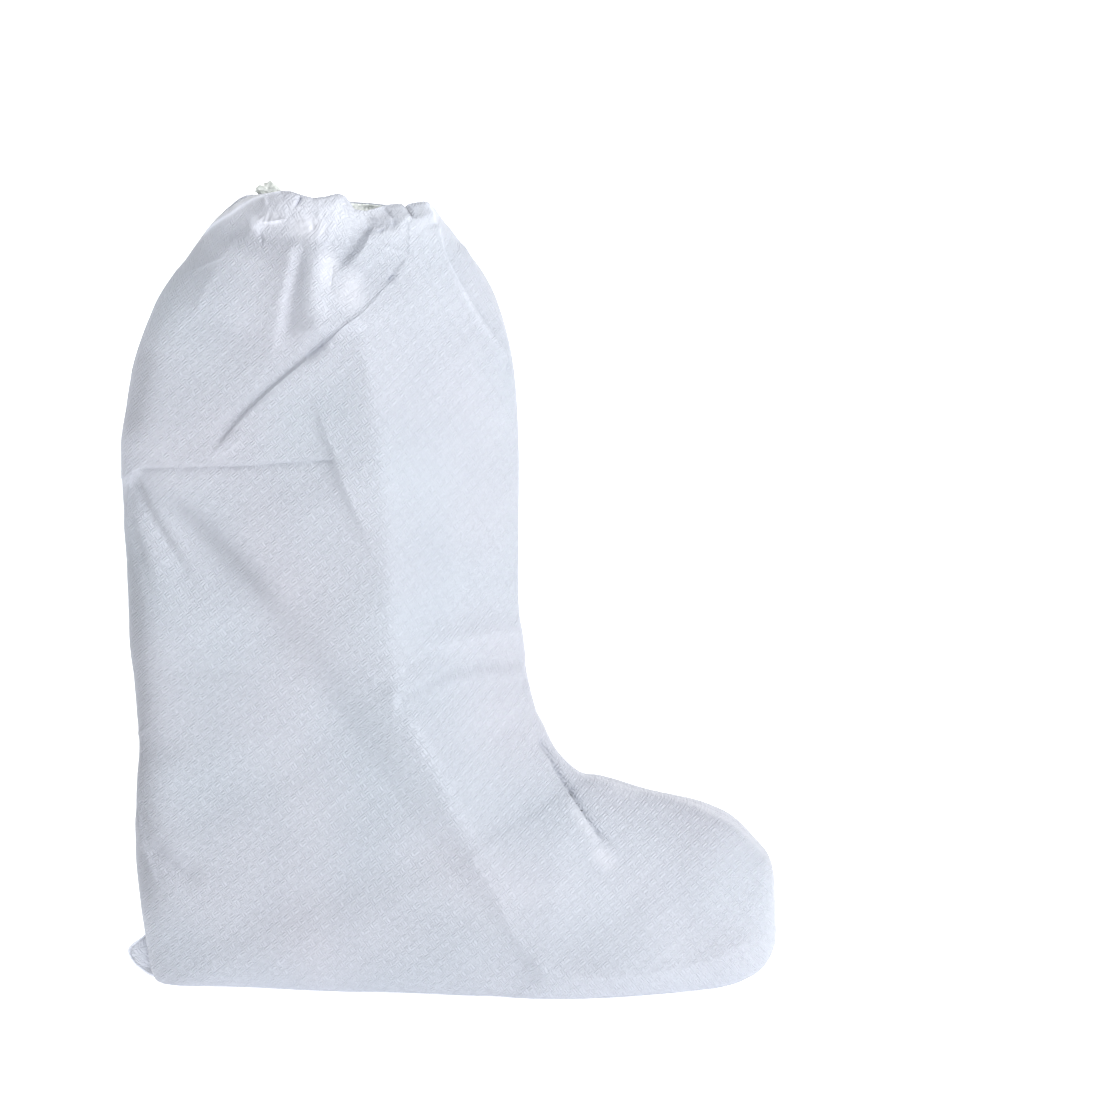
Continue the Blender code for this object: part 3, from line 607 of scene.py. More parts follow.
# From the line's nearest spot to each point, as (offset, signed distance, share along the line).
def nearestOnLine(spots, line):
    steps = np.diff(line, axis=0)
    lengths = np.linalg.norm(steps, axis=1)
    travelled = np.concatenate([[0.0], np.cumsum(lengths)])
    best = np.full(len(spots), 1e9)
    aside = np.zeros(len(spots))
    share = np.zeros(len(spots))
    nearest = np.zeros(spots.shape)
    for index, step in enumerate(steps):
        offset = spots - line[index]
        along = np.clip(offset @ step / lengths[index] ** 2, 0.0, 1.0)
        apart = offset - along[:, None] * step
        distance = np.hypot(apart[:, 0], apart[:, 1])
        closer = distance < best
        best = np.where(closer, distance, best)
        turn = offset[:, 0] * step[1] - offset[:, 1] * step[0]
        aside = np.where(closer, np.sign(turn) * distance, aside)
        reached = (travelled[index] + along * lengths[index]) / travelled[-1]
        share = np.where(closer, reached, share)
        nearest = np.where(closer[:, None], apart, nearest)
    return nearest, aside, share


# A fold table's lines, each as its points and its values by name.
def foldLines(table):
    return [
        (points, dict(zip(foldColumns, values, strict=True))) for points, *values in table.values()
    ]


def foldHeight(picture, points, height, left, right, sharp, start, end):
    scale = cameraSettings["millimetresPerPoint"]
    line = roundedLine(points)
    reach = max(left, right) * (reliefSettings["foldReach"] / sharp) / scale
    low, high = line.min(axis=0) - reach, line.max(axis=0) + reach
    near = ((picture > low) & (picture < high)).all(axis=-1)
    _, aside, share = nearestOnLine(picture[near], line)
    aside = aside * scale
    spread = np.where(aside > 0, left, right)
    profile = np.exp(-(np.abs(aside / spread) ** sharp))
    fadeIn = smooth(share / start) if start else 1.0
    fadeOut = smooth((1 - share) / end) if end else 1.0
    found = np.zeros(picture.shape[:-1])
    found[near] = height * profile * fadeIn * fadeOut
    return found


def ovalShare(picture, x, y, along, across, turn):
    scale = cameraSettings["millimetresPerPoint"]
    angle = math.radians(turn)
    offset = (picture - (x, y)) * scale
    a = (offset[..., 0] * math.cos(angle) + offset[..., 1] * math.sin(angle)) / along
    b = (offset[..., 1] * math.cos(angle) - offset[..., 0] * math.sin(angle)) / across
    return a * a + b * b


# Picture points drawn in towards the sharp fold lines, so that the cloth's cells are finest there.
def crowdedPicture(picture, folds, ease):
    moved = picture.copy()
    reach = crowdSettings["reach"] / cameraSettings["millimetresPerPoint"]
    for points, fold in foldLines(folds):
        if min(fold["left"], fold["right"]) > crowdSettings["below"]:
            continue
        line = roundedLine(points)
        low, high = line.min(axis=0) - reach, line.max(axis=0) + reach
        near = ((moved > low) & (moved < high)).all(axis=-1)
        apart, _, share = nearestOnLine(moved[near], line)
        distance = np.maximum(np.hypot(apart[:, 0], apart[:, 1]), 1e-9)
        close = np.minimum(distance / reach, 1.0)
        pulled = np.where(close < 1.0, close ** crowdSettings["power"] / close - 1.0, 0.0)
        ends = smooth(share / crowdSettings["ends"]) * smooth((1 - share) / crowdSettings["ends"])
        moved[near] += apart * (pulled * ends * ease[near])[:, None]
    return moved


# A grid's values between its points, at fractional rows and columns.
def sampled(grid, rows, columns):
    low = np.clip(np.floor(rows).astype(int), 0, grid.shape[0] - 2)
    left = np.clip(np.floor(columns).astype(int), 0, grid.shape[1] - 2)
    down, across = rows - low, columns - left
    if grid.ndim == 3:
        down, across = down[..., None], across[..., None]
    upper = grid[low, left] * (1 - across) + grid[low, left + 1] * across
    lower = grid[low + 1, left] * (1 - across) + grid[low + 1, left + 1] * across
    return upper * (1 - down) + lower * down


# The fractional rows and columns at which the picture grid takes the wanted points.
def placesOf(picture, wanted):
    last = np.array(picture.shape[:2]) - 1
    rows, columns = np.meshgrid(np.arange(last[0] + 1.0), np.arange(last[1] + 1.0), indexing="ij")
    downward, rightward = np.gradient(picture, axis=0), np.gradient(picture, axis=1)
    moving = np.abs(wanted - picture).max(axis=-1) > crowdSettings["settled"]
    longest = crowdSettings["longestStep"]
    for _ in range(crowdSettings["passes"]):
        error = wanted - sampled(picture, rows, columns)
        a, b = sampled(downward, rows, columns), sampled(rightward, rows, columns)
        area = a[..., 0] * b[..., 1] - a[..., 1] * b[..., 0]
        area = np.where(np.abs(area) < crowdSettings["leastArea"], np.inf, area)
        rowStep = (error[..., 0] * b[..., 1] - error[..., 1] * b[..., 0]) / area
        columnStep = (a[..., 0] * error[..., 1] - a[..., 1] * error[..., 0]) / area
        rowStep = np.where(moving, np.clip(rowStep, -longest, longest), 0)
        columnStep = np.where(moving, np.clip(columnStep, -longest, longest), 0)
        rows = np.clip(rows + rowStep, 0, last[0])
        columns = np.clip(columns + columnStep, 0, last[1])
    return rows, columns


# Creased facets: a sum of folded waves in many directions, from -1 to 1.
def creases(cut, width, seed):
    chance = np.random.default_rng(seed)
    total = np.zeros(cut.shape[:-1])
    for _ in range(reliefSettings["creaseWaves"]):
        angle = chance.uniform(0, math.pi)
        length = width * chance.uniform(*reliefSettings["creaseSpread"]) / 1000
        phase = chance.uniform(0, 1)
        aside = 2 * math.pi * (cut @ [math.sin(angle), -math.cos(angle)])
        bowLength = length * reliefSettings["bowLength"]
        bowPhase = phase * reliefSettings["bowPhase"]
        bow = reliefSettings["creaseBow"] * np.sin(aside / bowLength + bowPhase)
        wave = (cut @ [math.cos(angle), math.sin(angle)]) / length + phase + bow
        total += 4 * np.abs(wave % 1.0 - 0.5) - 1
    return total / reliefSettings["creaseCalm"]


# Broad soft waves in many directions.
def swells(cut, length, seed):
    chance = np.random.default_rng(seed)
    total = np.zeros(cut.shape[:-1])
    for _ in range(reliefSettings["swellWaves"]):
        angle = chance.uniform(0, math.pi)
        across = length * chance.uniform(*reliefSettings["swellSpread"]) / 1000
        along = (cut @ [math.cos(angle), math.sin(angle)]) / across
        total += np.cos(2 * math.pi * (along + chance.uniform()))
    return total / math.sqrt(reliefSettings["swellWaves"])



# The seam corner that sticks out behind the heel, pressed flat towards the centre plane, and the
# painted glow that lights it in the key light's shade.
def pulledEar(base, fromBack):
    level = base[:, -1:, 2] - earSettings["middle"]
    reach = np.where(level > 0, level / earSettings["above"], -level / earSettings["below"])
    behind = base[:, -1:, 0] < earSettings["behind"]
    rise = np.clip(1.0 - reach**2, 0.0, 1.0) ** earSettings["roundness"]
    bump = np.where(behind, rise, 0.0)
    across = fromBack / earSettings["width"]
    pulled = bump * smooth(1.0 - across)
    moved = base.copy()
    moved[..., 0] -= earSettings["reach"] * pulled
    moved[..., 1] *= 1.0 - earSettings["flattening"] * bump * smooth(earSettings["flatTo"] - across)
    least = np.minimum(base[..., 1], earSettings["thickness"])
    moved[..., 1] = np.maximum(moved[..., 1], least)
    # Painted glow: it rises with the corner's bulge, is weaker on the bulge away from the seam
    # edge, and fades out into the panel.
    rim = 1.0 - smooth(fromBack / earSettings["thickness"] / 2)
    lit = smooth(bump * earSettings["litRise"])
    lit = lit * (1.0 - earSettings["innerShade"] * bump * (1.0 - rim))
    return moved, lit * smooth(earSettings["litTo"] - across)



# The panel with the depth of its bend evened out, away from its seams.
def easedBend(base, fromFront, fromBack):
    depth = base[..., 1].copy()
    for _ in range(bendSettings["passes"]):
        depth[1:-1] = (depth[:-2] + 2 * depth[1:-1] + depth[2:]) / 4
    positions = np.array(rowPositions())
    rows = smooth((positions - bendSettings["first"]) / bendSettings["fade"])
    rows *= smooth((bendSettings["last"] - positions) / bendSettings["fade"])
    fromSeam = np.minimum(fromFront, fromBack)
    columns = smooth((fromSeam - bendSettings["clear"]) / bendSettings["blend"])
    share = rows[:, None] * columns
    eased = base.copy()
    eased[..., 1] += (depth - base[..., 1]) * share
    return eased


# The top edge, raised or lowered to the rim line.
def trimRim(base, picture, rim, belowTop, fromFront):
    line = np.interp(picture[0, :, 0], *np.transpose(rim))
    lift = (picture[0, :, 1] - line) * cameraSettings["millimetresPerPoint"] / 1000
    lift = np.where(picture[0, :, 0] > rim[0][0] - rimSettings["before"], lift, 0.0)
    fade = np.exp(-((belowTop / rimSettings["reach"]) ** 2))
    base[..., 2] += lift[None, :] * fade * smooth(fromFront[0] / rimSettings["seamFade"])


# How far the cloth is lifted, in millimetres, and how far its film is crumpled.
def reliefOf(panel, picture, cut, belowTop):
    height = np.zeros(picture.shape[:2])
    for points, fold in foldLines(panel["folds"]):
        height += foldHeight(picture, points, **fold)
    for values in panel["lumps"].values():
        lump = dict(zip(lumpColumns, values, strict=True))
        tall, square = lump.pop("height"), lump.pop("square")
        height += tall * np.exp(-(ovalShare(picture, **lump) ** square))
    crumple = np.zeros(picture.shape[:2])
    for index, values in enumerate(panel["crumples"].values()):
        patch = dict(zip(crumpleColumns, values, strict=True))
        tall, width = patch.pop("height"), patch.pop("crease")
        inside = np.exp(-(ovalShare(picture, **patch) ** reliefSettings["patchSquareness"]))
        height += tall * inside * creases(cut, width, panel["seed"] + index)
        crumple = np.maximum(crumple, inside * min(tall / reliefSettings["fullCrumple"], 1.0))
    for tall, length, seedStep in reliefSettings["swells"]:
        height += tall * swells(cut, length, panel["seed"] + seedStep)
    roll = smooth(belowTop * 1000 / reliefSettings["edgeRoll"])
    edge = reliefSettings["edgeShare"]
    return height * (edge + (1 - edge) * roll), crumple


# The outer and inner walls, each on its own side of the centre plane, joined along the seams.
def wallsOf(base, normals, height, side):
    outer = base + normals * height[..., None]
    inner = outer - normals * coverSettings["wall"]
    for wall in (outer, inner):
        wall[..., 1] = side * np.maximum(side * wall[..., 1], coverSettings["seamGap"] / 2)
    outer[..., 2] = np.maximum(outer[..., 2], 0.0)
    inner[..., 2] = np.maximum(inner[..., 2], coverSettings["wall"])
    inward = seamInward(outer) * coverSettings["wall"]
    rows, columns = outer.shape[:2]
    inner[:, 0] = outer[:, 0] + inward[:rows]
    inner[-1, 1:-1] = outer[-1, 1:-1] + inward[rows : rows + columns - 2]
    inner[:, -1] = outer[:, -1] + inward[rows + columns - 2 :][::-1]
    for wall in (outer, inner):
        wall[..., 2] -= coverSettings["wall"]
    return outer, inner


# One panel's walls, its cut, where its film is crumpled, and where light and shade are painted on
# it, as grids.
def panelGrids(panel):
    side = panel["side"]
    built = [sectionPoints(position, side) for position in rowPositions()]
    base = np.stack([points for points, _ in built])
    cut = np.stack([flat for _, flat in built])
    belowTop = distanceAlong(base, 0)
    fromFront = distanceAlong(base, 1)
    fromBack = fromFront[:, -1:] - fromFront
    seamEase, seamCalm = coverSettings["seamEase"], crowdSettings["seamCalm"]
    ease = smooth(fromFront / seamEase) * smooth(fromBack / seamEase)
    base = easedBend(base, fromFront, fromBack)
    tone = np.zeros(base.shape[:2])
    # The far panel's seam corner gets a painted glow.
    if panel["ear"]:
        base, tone = pulledEar(base, fromBack)
    normals = surfaceNormals(base, side)
    picture = pictureOf(base)
    if panel["rim"]:
        trimRim(base, picture, panel["rim"], belowTop, fromFront)
        picture = pictureOf(base)
    calm = smooth(fromFront / seamCalm) * smooth(fromBack / seamCalm)
    calm = calm * smooth(belowTop / crowdSettings["topCalm"])
    rows, columns = placesOf(picture, crowdedPicture(picture, panel["folds"], calm))
    grids = (base, cut, normals, tone, belowTop, ease)
    base, cut, normals, tone, belowTop, ease = (sampled(grid, rows, columns) for grid in grids)
    normals = unit(normals)
    picture = pictureOf(base)
    # Painted light and shade along the panel's lines, added to any painted glow of the seam corner.
    for points, line in foldLines(panel["paintedLightLines"]):
        tone += foldHeight(picture, points, **line)
    height, crumple = reliefOf(panel, picture, cut, belowTop)
    outer, inner = wallsOf(base, normals, height / 1000 * ease, side)
    return {
        "outer": outer,
        "inner": inner,
        "cut": cut,
        "crumple": crumple,
        "tone": tone,
        "normals": normals,
    }


# Directions in the centre plane from the seam line into the panel, evened out along it.
def seamInward(points):
    reach = coverSettings["seamSmoothing"]
    even = np.ones(2 * reach + 1) / (2 * reach + 1)
    edge = np.concatenate([points[:, 0], points[-1, 1:-1], points[::-1, -1]])[:, [0, 2]]
    padded = [np.pad(edge[:, axis], reach, mode="edge") for axis in (0, 1)]
    edge = np.stack([np.convolve(line, even, "valid") for line in padded], axis=1)
    along = unit(np.gradient(edge, axis=0))
    inward = np.stack([along[:, 1], np.zeros(len(along)), -along[:, 0]], axis=1)
    middle = points[len(points) // 2, [0, -1]][:, [0, 2]]
    towards = middle[1] - middle[0]
    flip = -1.0 if inward[len(points) // 2, [0, 2]] @ towards < 0 else 1.0
    return inward * flip


def finishObject(name, bm, material):
    bmesh.ops.recalc_face_normals(bm, faces=bm.faces)
    if bm.calc_volume(signed=True) < 0:
        bmesh.ops.reverse_faces(bm, faces=bm.faces)
    mesh = bpy.data.meshes.new(name)
    bm.to_mesh(mesh)
    bm.free()
    mesh.shade_smooth()
    mesh.materials.append(material)
    built = bpy.data.objects.new(name, mesh)
    bpy.context.scene.collection.objects.link(built)
    return built


def addPointValues(mesh, name, values):
    layer = mesh.attributes.new(name, "FLOAT", "POINT")
    layer.data.foreach_set("value", values.astype(np.float32))


# A slab of cells whose two layers take the panel's two walls. The outer layer is cut twice as fine.
def panelObject(name, grids, material):
    rows = (grids["outer"].shape[0] - 1) // 2
    columns = (grids["outer"].shape[1] - 1) // 2
    bm = bmesh.new()
    innerMark = bm.verts.layers.int.new("innerWall")
    bmesh.ops.create_grid(bm, x_segments=rows, y_segments=columns, size=1.0)
    outerEdges = bm.edges[:]
    layer = bmesh.ops.extrude_face_region(bm, geom=bm.faces[:], use_keep_orig=True)["geom"]
    lifted = {item for item in layer if isinstance(item, bmesh.types.BMVert)}
    for vertex in lifted:
        vertex[innerMark] = 1
    bmesh.ops.subdivide_edges(bm, edges=outerEdges, cuts=1, use_grid_fill=True)
    place = []
    for vertex in bm.verts:
        row = round((vertex.co.x + 1) * rows)
        column = round((vertex.co.y + 1) * columns)
        place.append((row, column))
        wall = grids["inner"] if vertex[innerMark] else grids["outer"]
        vertex.co = wall[row, column]
    built = finishObject(name, bm, material)
    mesh = built.data
    row, column = np.transpose(place)
    corners = np.empty(len(mesh.loops), np.int32)
    mesh.loops.foreach_get("vertex_index", corners)
    flat = mesh.uv_layers.new(name="cut")
    flat.data.foreach_set("uv", grids["cut"][row, column][corners].astype(np.float32).ravel())
    for layer in ("crumple", "tone"):
        addPointValues(mesh, layer, grids[layer][row, column])
    if "innerWall" in mesh.attributes:
        mesh.attributes.remove(mesh.attributes["innerWall"])
    return built


# One shader node's output, with arithmetic, and a method that adds any other node.
class Wire:
    def __init__(self, tree, socket=None):
        self.tree = tree
        self.socket = socket

    def node(self, kind, settings, inputs, output=0):
        made = self.tree.nodes.new(kind)
        for name, value in settings.items():
            setattr(made, name, value)
        for key, value in inputs.items():
            if isinstance(value, Wire):
                self.tree.links.new(value.socket, made.inputs[key])
            else:
                made.inputs[key].default_value = value
        return Wire(self.tree, made.outputs[output])

    def maths(self, operation, first, second):
        return self.node("ShaderNodeMath", {"operation": operation}, {0: first, 1: second})

    def __add__(self, other):
        return self.maths("ADD", self, other)

    def __radd__(self, other):
        return self.maths("ADD", other, self)

    def __sub__(self, other):
        return self.maths("SUBTRACT", self, other)

    def __rsub__(self, other):
        return self.maths("SUBTRACT", other, self)

    def __mul__(self, other):
        return self.maths("MULTIPLY", self, other)

    def __mod__(self, other):
        return self.maths("FLOORED_MODULO", self, other)

    def __abs__(self):
        return self.maths("ABSOLUTE", self, 0.0)


def newMaterial(name, constants):
    material = bpy.data.materials.new(name)
    material.use_nodes = True
    shader = material.node_tree.nodes["Principled BSDF"]
    for socket, value in constants.items():
        shader.inputs[socket].default_value = value
    return material, shader, Wire(material.node_tree)


def mixColours(wire, share, first, second, blend="MIX"):
    settings = {"data_type": "RGBA", "blend_type": blend}
    return wire.node("ShaderNodeMix", settings, {0: share, 6: first, 7: second}, output=2)


def feed(shader, wires):
    for name, wire in wires.items():
        wire.tree.links.new(wire.socket, shader.inputs[name])


def pointValue(wire, name):
    return wire.node("ShaderNodeAttribute", {"attribute_name": name}, {}, output="Fac")


def bumpOf(wire, height, strength, distance):
    inputs = {"Strength": strength, "Distance": distance, "Height": height}
    return wire.node("ShaderNodeBump", {}, inputs)


# Lengths in metres and angles in degrees. The noises are (scale, detail, distortion).
clothSettings = {
    "cell": 0.0034,
    "stripes": 2.4,
    "angles": (36.0, -50.0),
    "groove": 0.16,
    "dashShare": 0.8,
    "netShare": 0.2,
    "grain": (700.0, 3.0, 0.0),
    "blotch": (26.0, 3.0, 0.0),
    "drift": (11.0, 1.0, 0.0),
    "rucks": (105.0, 1.0, 1.2),
    "emboss": 0.00070,
    "embossStrength": 1.0,
    "dashRelief": 0.8,
    "grainRelief": 0.5,
    "filmEvens": 0.8,
    "filmRelief": 3.2,
    "dashTint": 0.2,
    "blotchTint": 0.8,
    "filmTintAndSheen": 0.8,
    "rough": 0.46,
    "blotchRough": 0.12,
    "filmGloss": 0.16,
    "constants": {
        "Metallic": 0.0,
        "IOR": 1.45,
        "Specular IOR Level": 0.35,
        "Emission Strength": 1.0,
    },
    "plain": (0.606, 0.622, 0.686, 1.0),
    "deep": (0.532, 0.550, 0.616, 1.0),
    # The film's colour, lighter than the plain cloth: partly the film's own colour and partly a
    # painted sheen.
    "film": (0.640, 0.654, 0.716, 1.0),
    # The painted shade colour, no glow, and the emission colour of the painted glow.
    "shaded": (0.214, 0.221, 0.249, 1.0),
    "unlit": (0.0, 0.0, 0.0, 1.0),
    "paintedGlow": (0.360, 0.374, 0.410, 1.0),
    "coolTint": (0.94, 1.0, 1.01, 1.0),
    "warmTint": (1.01, 0.99, 1.0, 1.0),
}


def clothNoise(wire, flat, name):
    scale, detail, distortion = clothSettings[name]
    inputs = {"Vector": flat, "Scale": scale, "Detail": detail, "Distortion": distortion}
    return wire.node("ShaderNodeTexNoise", {"noise_dimensions": "2D"}, inputs)


# The emboss: cells along two slanting directions, with short dashes that turn from cell to cell.
def embossOf(wire, flat):
    u = wire.node("ShaderNodeSeparateXYZ", {}, {0: flat}, output=0)
    v = wire.node("ShaderNodeSeparateXYZ", {}, {0: flat}, output=1)
    cell = clothSettings["cell"]
    cells, waves, edges = [], [], []
    for angle in clothSettings["angles"]:
        turn = math.radians(angle)
        stroke = u * (math.cos(turn) / cell) + v * (math.sin(turn) / cell)
        whole = wire.maths("FLOOR", stroke, 0.0)
        cells.append(whole)
        waves.append(1.0 - abs(stroke * clothSettings["stripes"] % 1.0 * 2.0 - 1.0))
        edges.append(0.5 - abs(stroke - whole - 0.5))
    odd = (cells[0] + cells[1]) % 2.0
    edge = wire.maths("MINIMUM", *edges)
    span = {1: 0.0, 2: clothSettings["groove"], 3: 0.0, 4: 1.0}
    net = wire.node("ShaderNodeMapRange", {}, {0: edge, **span})
    dash = waves[0] * odd + waves[1] * (1.0 - odd)
    return dash * clothSettings["dashShare"] * net + net * clothSettings["netShare"]



def clothMaterial():
    material, shader, wire = newMaterial("coatedNonwoven", clothSettings["constants"])
    flat = wire.node("ShaderNodeUVMap", {"uv_map": "cut"}, {})
    dash = embossOf(wire, flat)
    names = ("grain", "blotch", "drift", "rucks")
    grain, blotch, drift, rucks = (clothNoise(wire, flat, name) for name in names)
    film, tone = pointValue(wire, "crumple"), pointValue(wire, "tone")
    woven = dash * clothSettings["dashRelief"] + grain * clothSettings["grainRelief"]
    creased = abs(rucks - 0.5) * film * clothSettings["filmRelief"]
    relief = woven * (1.0 - film * clothSettings["filmEvens"]) + creased
    share = dash * clothSettings["dashTint"] + blotch * clothSettings["blotchTint"]
    shade = mixColours(wire, share, clothSettings["deep"], clothSettings["plain"])
    tint = mixColours(wire, drift, clothSettings["coolTint"], clothSettings["warmTint"])
    tinted = mixColours(wire, 1.0, shade, tint, "MULTIPLY")
    # The crumpled film takes its lighter colour, partly its own and partly a painted sheen.
    filmed = mixColours(wire, film * clothSettings["filmTintAndSheen"], tinted, clothSettings["film"])
    # Painted light: above 0 the cloth gets an emission glow, and below 0 its colour is mixed
    # towards the painted shade colour.
    paintedGlowColour = mixColours(wire, tone, clothSettings["unlit"], clothSettings["paintedGlow"])
    rough = clothSettings["rough"] + blotch * clothSettings["blotchRough"]
    feed(shader, {
        "Base Color": mixColours(wire, 0.0 - tone, filmed, clothSettings["shaded"]),
        "Emission Color": paintedGlowColour,
        "Roughness": rough - film * clothSettings["filmGloss"],
        "Normal": bumpOf(wire, relief, clothSettings["embossStrength"], clothSettings["emboss"]),
    })  # fmt: skip
    return material



elasticSettings = {
    "width": 0.009,
    "drop": 0.0004,
    "thickness": 0.0012,
    "clearance": 0.0005,
    "ripple": 0.0006,
    "ripples": 112,
    "stepsPerRipple": 8,
    "cellsAcross": 6,
    "rippleDrift": 1.3,
    "driftTurns": 17,
    "speckle": 420.0,
    "speckleDetail": 3.0,
    "speckleSpan": (0.38, 0.62),
    "relief": 0.0004,
    "reliefStrength": 0.8,
    "rough": 0.9,
    "speckleGloss": 0.2,
    # The painted glow on the elastic's ring, more on its pale specks, and its emission colour.
    "leastGlow": 0.4,
    "speckleGlow": 0.6,
    "constants": {"Metallic": 0.0, "Specular IOR Level": 0.3, "Emission Strength": 1.0},
    "pale": (0.92, 0.95, 0.92, 1.0),
    "dark": (0.68, 0.72, 0.68, 1.0),
    "unlit": (0.0, 0.0, 0.0, 1.0),
    "paintedGlow": (0.26, 0.27, 0.27, 1.0),
}


def elasticMaterial():
    material, shader, wire = newMaterial("shirredElastic", elasticSettings["constants"])
    spot = wire.node("ShaderNodeTexCoord", {}, {}, output="Object")
    noise = {"Scale": elasticSettings["speckle"], "Detail": elasticSettings["speckleDetail"]}
    speckle = wire.node("ShaderNodeTexNoise", {}, {"Vector": spot, **noise})
    low, high = elasticSettings["speckleSpan"]
    share = wire.node("ShaderNodeMapRange", {}, {0: speckle, 1: low, 2: high, 3: 0.0, 4: 1.0})
    # Painted glow: the ring glows to lift it out of the shade inside the top; the tail gets none.
    glow = share * elasticSettings["speckleGlow"] + elasticSettings["leastGlow"]
    lit = pointValue(wire, "tone") * glow
    paintedGlowColour = mixColours(wire, lit, elasticSettings["unlit"], elasticSettings["paintedGlow"])
    strength, relief = elasticSettings["reliefStrength"], elasticSettings["relief"]
    feed(shader, {
        "Base Color": mixColours(wire, share, elasticSettings["dark"], elasticSettings["pale"]),
        "Emission Color": paintedGlowColour,
        "Roughness": elasticSettings["rough"] - speckle * elasticSettings["speckleGloss"],
        "Normal": bumpOf(wire, speckle, strength, relief),
    })  # fmt: skip
    return material


elasticSteps = elasticSettings["ripples"] * elasticSettings["stepsPerRipple"]


# A closed loop just inside the top, at a drop below the edge and an inset from the inner walls.
def elasticRing(panels, drop, inset, rippled):
    halves = []
    for name, side in (("nearPanel", -1), ("farPanel", 1)):
        inner, normals = panels[name]["inner"], panels[name]["normals"]
        below = distanceAlong(inner, 0)
        half = np.empty((inner.shape[1], 3))
        facing = np.empty_like(half)
        for column in range(inner.shape[1]):
            row = np.interp(drop, below[:, column], np.arange(len(inner)))
            low = int(row)
            share = row - low
            half[column] = (1 - share) * inner[low, column] + share * inner[low + 1, column]
            facing[column] = (1 - share) * normals[low, column] + share * normals[low + 1, column]
        facing[[0, -1], 1] = 0.0
        half[[0, -1], 1] = 0.0
        half = half - inset * unit(facing)
        halves.append(half if side < 0 else half[::-1])
    ring = np.concatenate([halves[0], halves[1][1:]])
    travelled = distanceAlong(ring, 0)
    wanted = np.linspace(0.0, travelled[-1], elasticSteps + 1)[:-1]
    ring = np.stack([np.interp(wanted, travelled, ring[:, axis]) for axis in range(3)], axis=1)
    centre = ring.mean(axis=0)
    inward = unit((centre - ring) * [1.0, 1.0, 0.0])
    turn = np.arange(elasticSteps) / elasticSteps * 2 * math.pi
    drift = elasticSettings["rippleDrift"] * np.sin(elasticSettings["driftTurns"] * turn)
    wave = 0.5 - 0.5 * np.cos(elasticSettings["ripples"] * turn + drift)
    return ring + inward * (wave * rippled)[:, None]


tailSettings = {
    "middle": (-0.0340, 0.0085, 0.4570),
    "reach": (0.0066, 0.0042, 0.0040),
    "subdivisions": 4,
    "crumple": 0.22,
}


# The crumpled end of the elastic, at the back seam.
def addTail(bm):
    ball = bmesh.ops.create_icosphere(bm, subdivisions=tailSettings["subdivisions"], radius=1.0)
    for vertex in ball["verts"]:
        x, y, z = vertex.co
        fold = math.sin(5 * x + 2 * y + 1)
        fold += 0.7 * math.sin(6 * y - 4 * z) * math.cos(8 * x)
        fold += 0.35 * math.sin(13 * z + 9 * x)
        size = 1 + tailSettings["crumple"] * fold
        places = zip(tailSettings["middle"], tailSettings["reach"], (x, y, z), strict=True)
        vertex.co = [middle + reach * axis * size for middle, reach, axis in places]


def elasticObject(panels, material):
    cells = elasticSettings["cellsAcross"]
    bm = bmesh.new()
    profile = [bm.verts.new((1, 0, level)) for level in range(cells + 1)]
    profile += [bm.verts.new((2, 0, level)) for level in range(cells, -1, -1)]
    strip = [bm.edges.new((profile[index - 1], profile[index])) for index in range(len(profile))]
    bmesh.ops.spin(
        bm,
        geom=profile + strip,
        cent=(0, 0, 0),
        axis=(0, 0, 1),
        angle=2 * math.pi,
        steps=elasticSteps,
        use_merge=True,
    )
    rings = {}
    for level in range(cells + 1):
        drop = elasticSettings["drop"] + elasticSettings["width"] * level / cells
        for wall, inset in ((2, 0.0), (1, elasticSettings["thickness"])):
            inset += elasticSettings["clearance"]
            rings[wall, level] = elasticRing(panels, drop, inset, elasticSettings["ripple"])
    for vertex in bm.verts:
        turn = math.atan2(vertex.co.y, vertex.co.x) / (2 * math.pi) % 1.0
        ring = rings[round(vertex.co.xy.length), round(vertex.co.z)]
        vertex.co = ring[round(turn * elasticSteps) % elasticSteps]
    inRing = len(bm.verts)
    addTail(bm)
    built = finishObject("topElastic", bm, material)
    # The ring takes the painted glow and the tail none.
    addPointValues(built.data, "tone", np.arange(len(built.data.vertices)) < inRing)
    return built


def aimed(holder, target):
    direction = np.array(target) - np.array(holder.location)
    flat = math.hypot(direction[0], direction[1])
    holder.rotation_euler = (
        math.atan2(flat, -direction[2]),
        0.0,
        math.atan2(-direction[0], direction[1]),
    )


def addCamera():
    data = bpy.data.cameras.new("camera")
    data.sensor_width = cameraSettings["sensor"]
    data.lens = cameraSettings["focalPoints"] * cameraSettings["sensor"] / cameraSettings["picture"]
    data.clip_end = cameraSettings["clipEnd"]
    holder = bpy.data.objects.new("camera", data)
    elevation = math.radians(cameraSettings["elevation"])
    x, y, z = cameraSettings["target"]
    away = cameraSettings["distance"]
    holder.location = (x, y - away * math.cos(elevation), z + away * math.sin(elevation))
    holder.rotation_euler = (math.pi / 2 - elevation, 0.0, 0.0)
    bpy.context.scene.collection.objects.link(holder)
    bpy.context.scene.camera = holder


lightSettings = {
    "key": {"place": (1.9, -1.5, 1.5), "size": 1.1, "power": 51.8},
    "fill": {"place": (-1.8, -2.2, 1.2), "size": 1.8, "power": 16.9},
    "top": {"place": (0.2, 0.3, 2.4), "size": 1.6, "power": 2.5},
    "world": 0.33,
    "worldColour": (0.98, 0.99, 1.0, 1.0),
    "aim": (0.05, 0.0, 0.24),
}


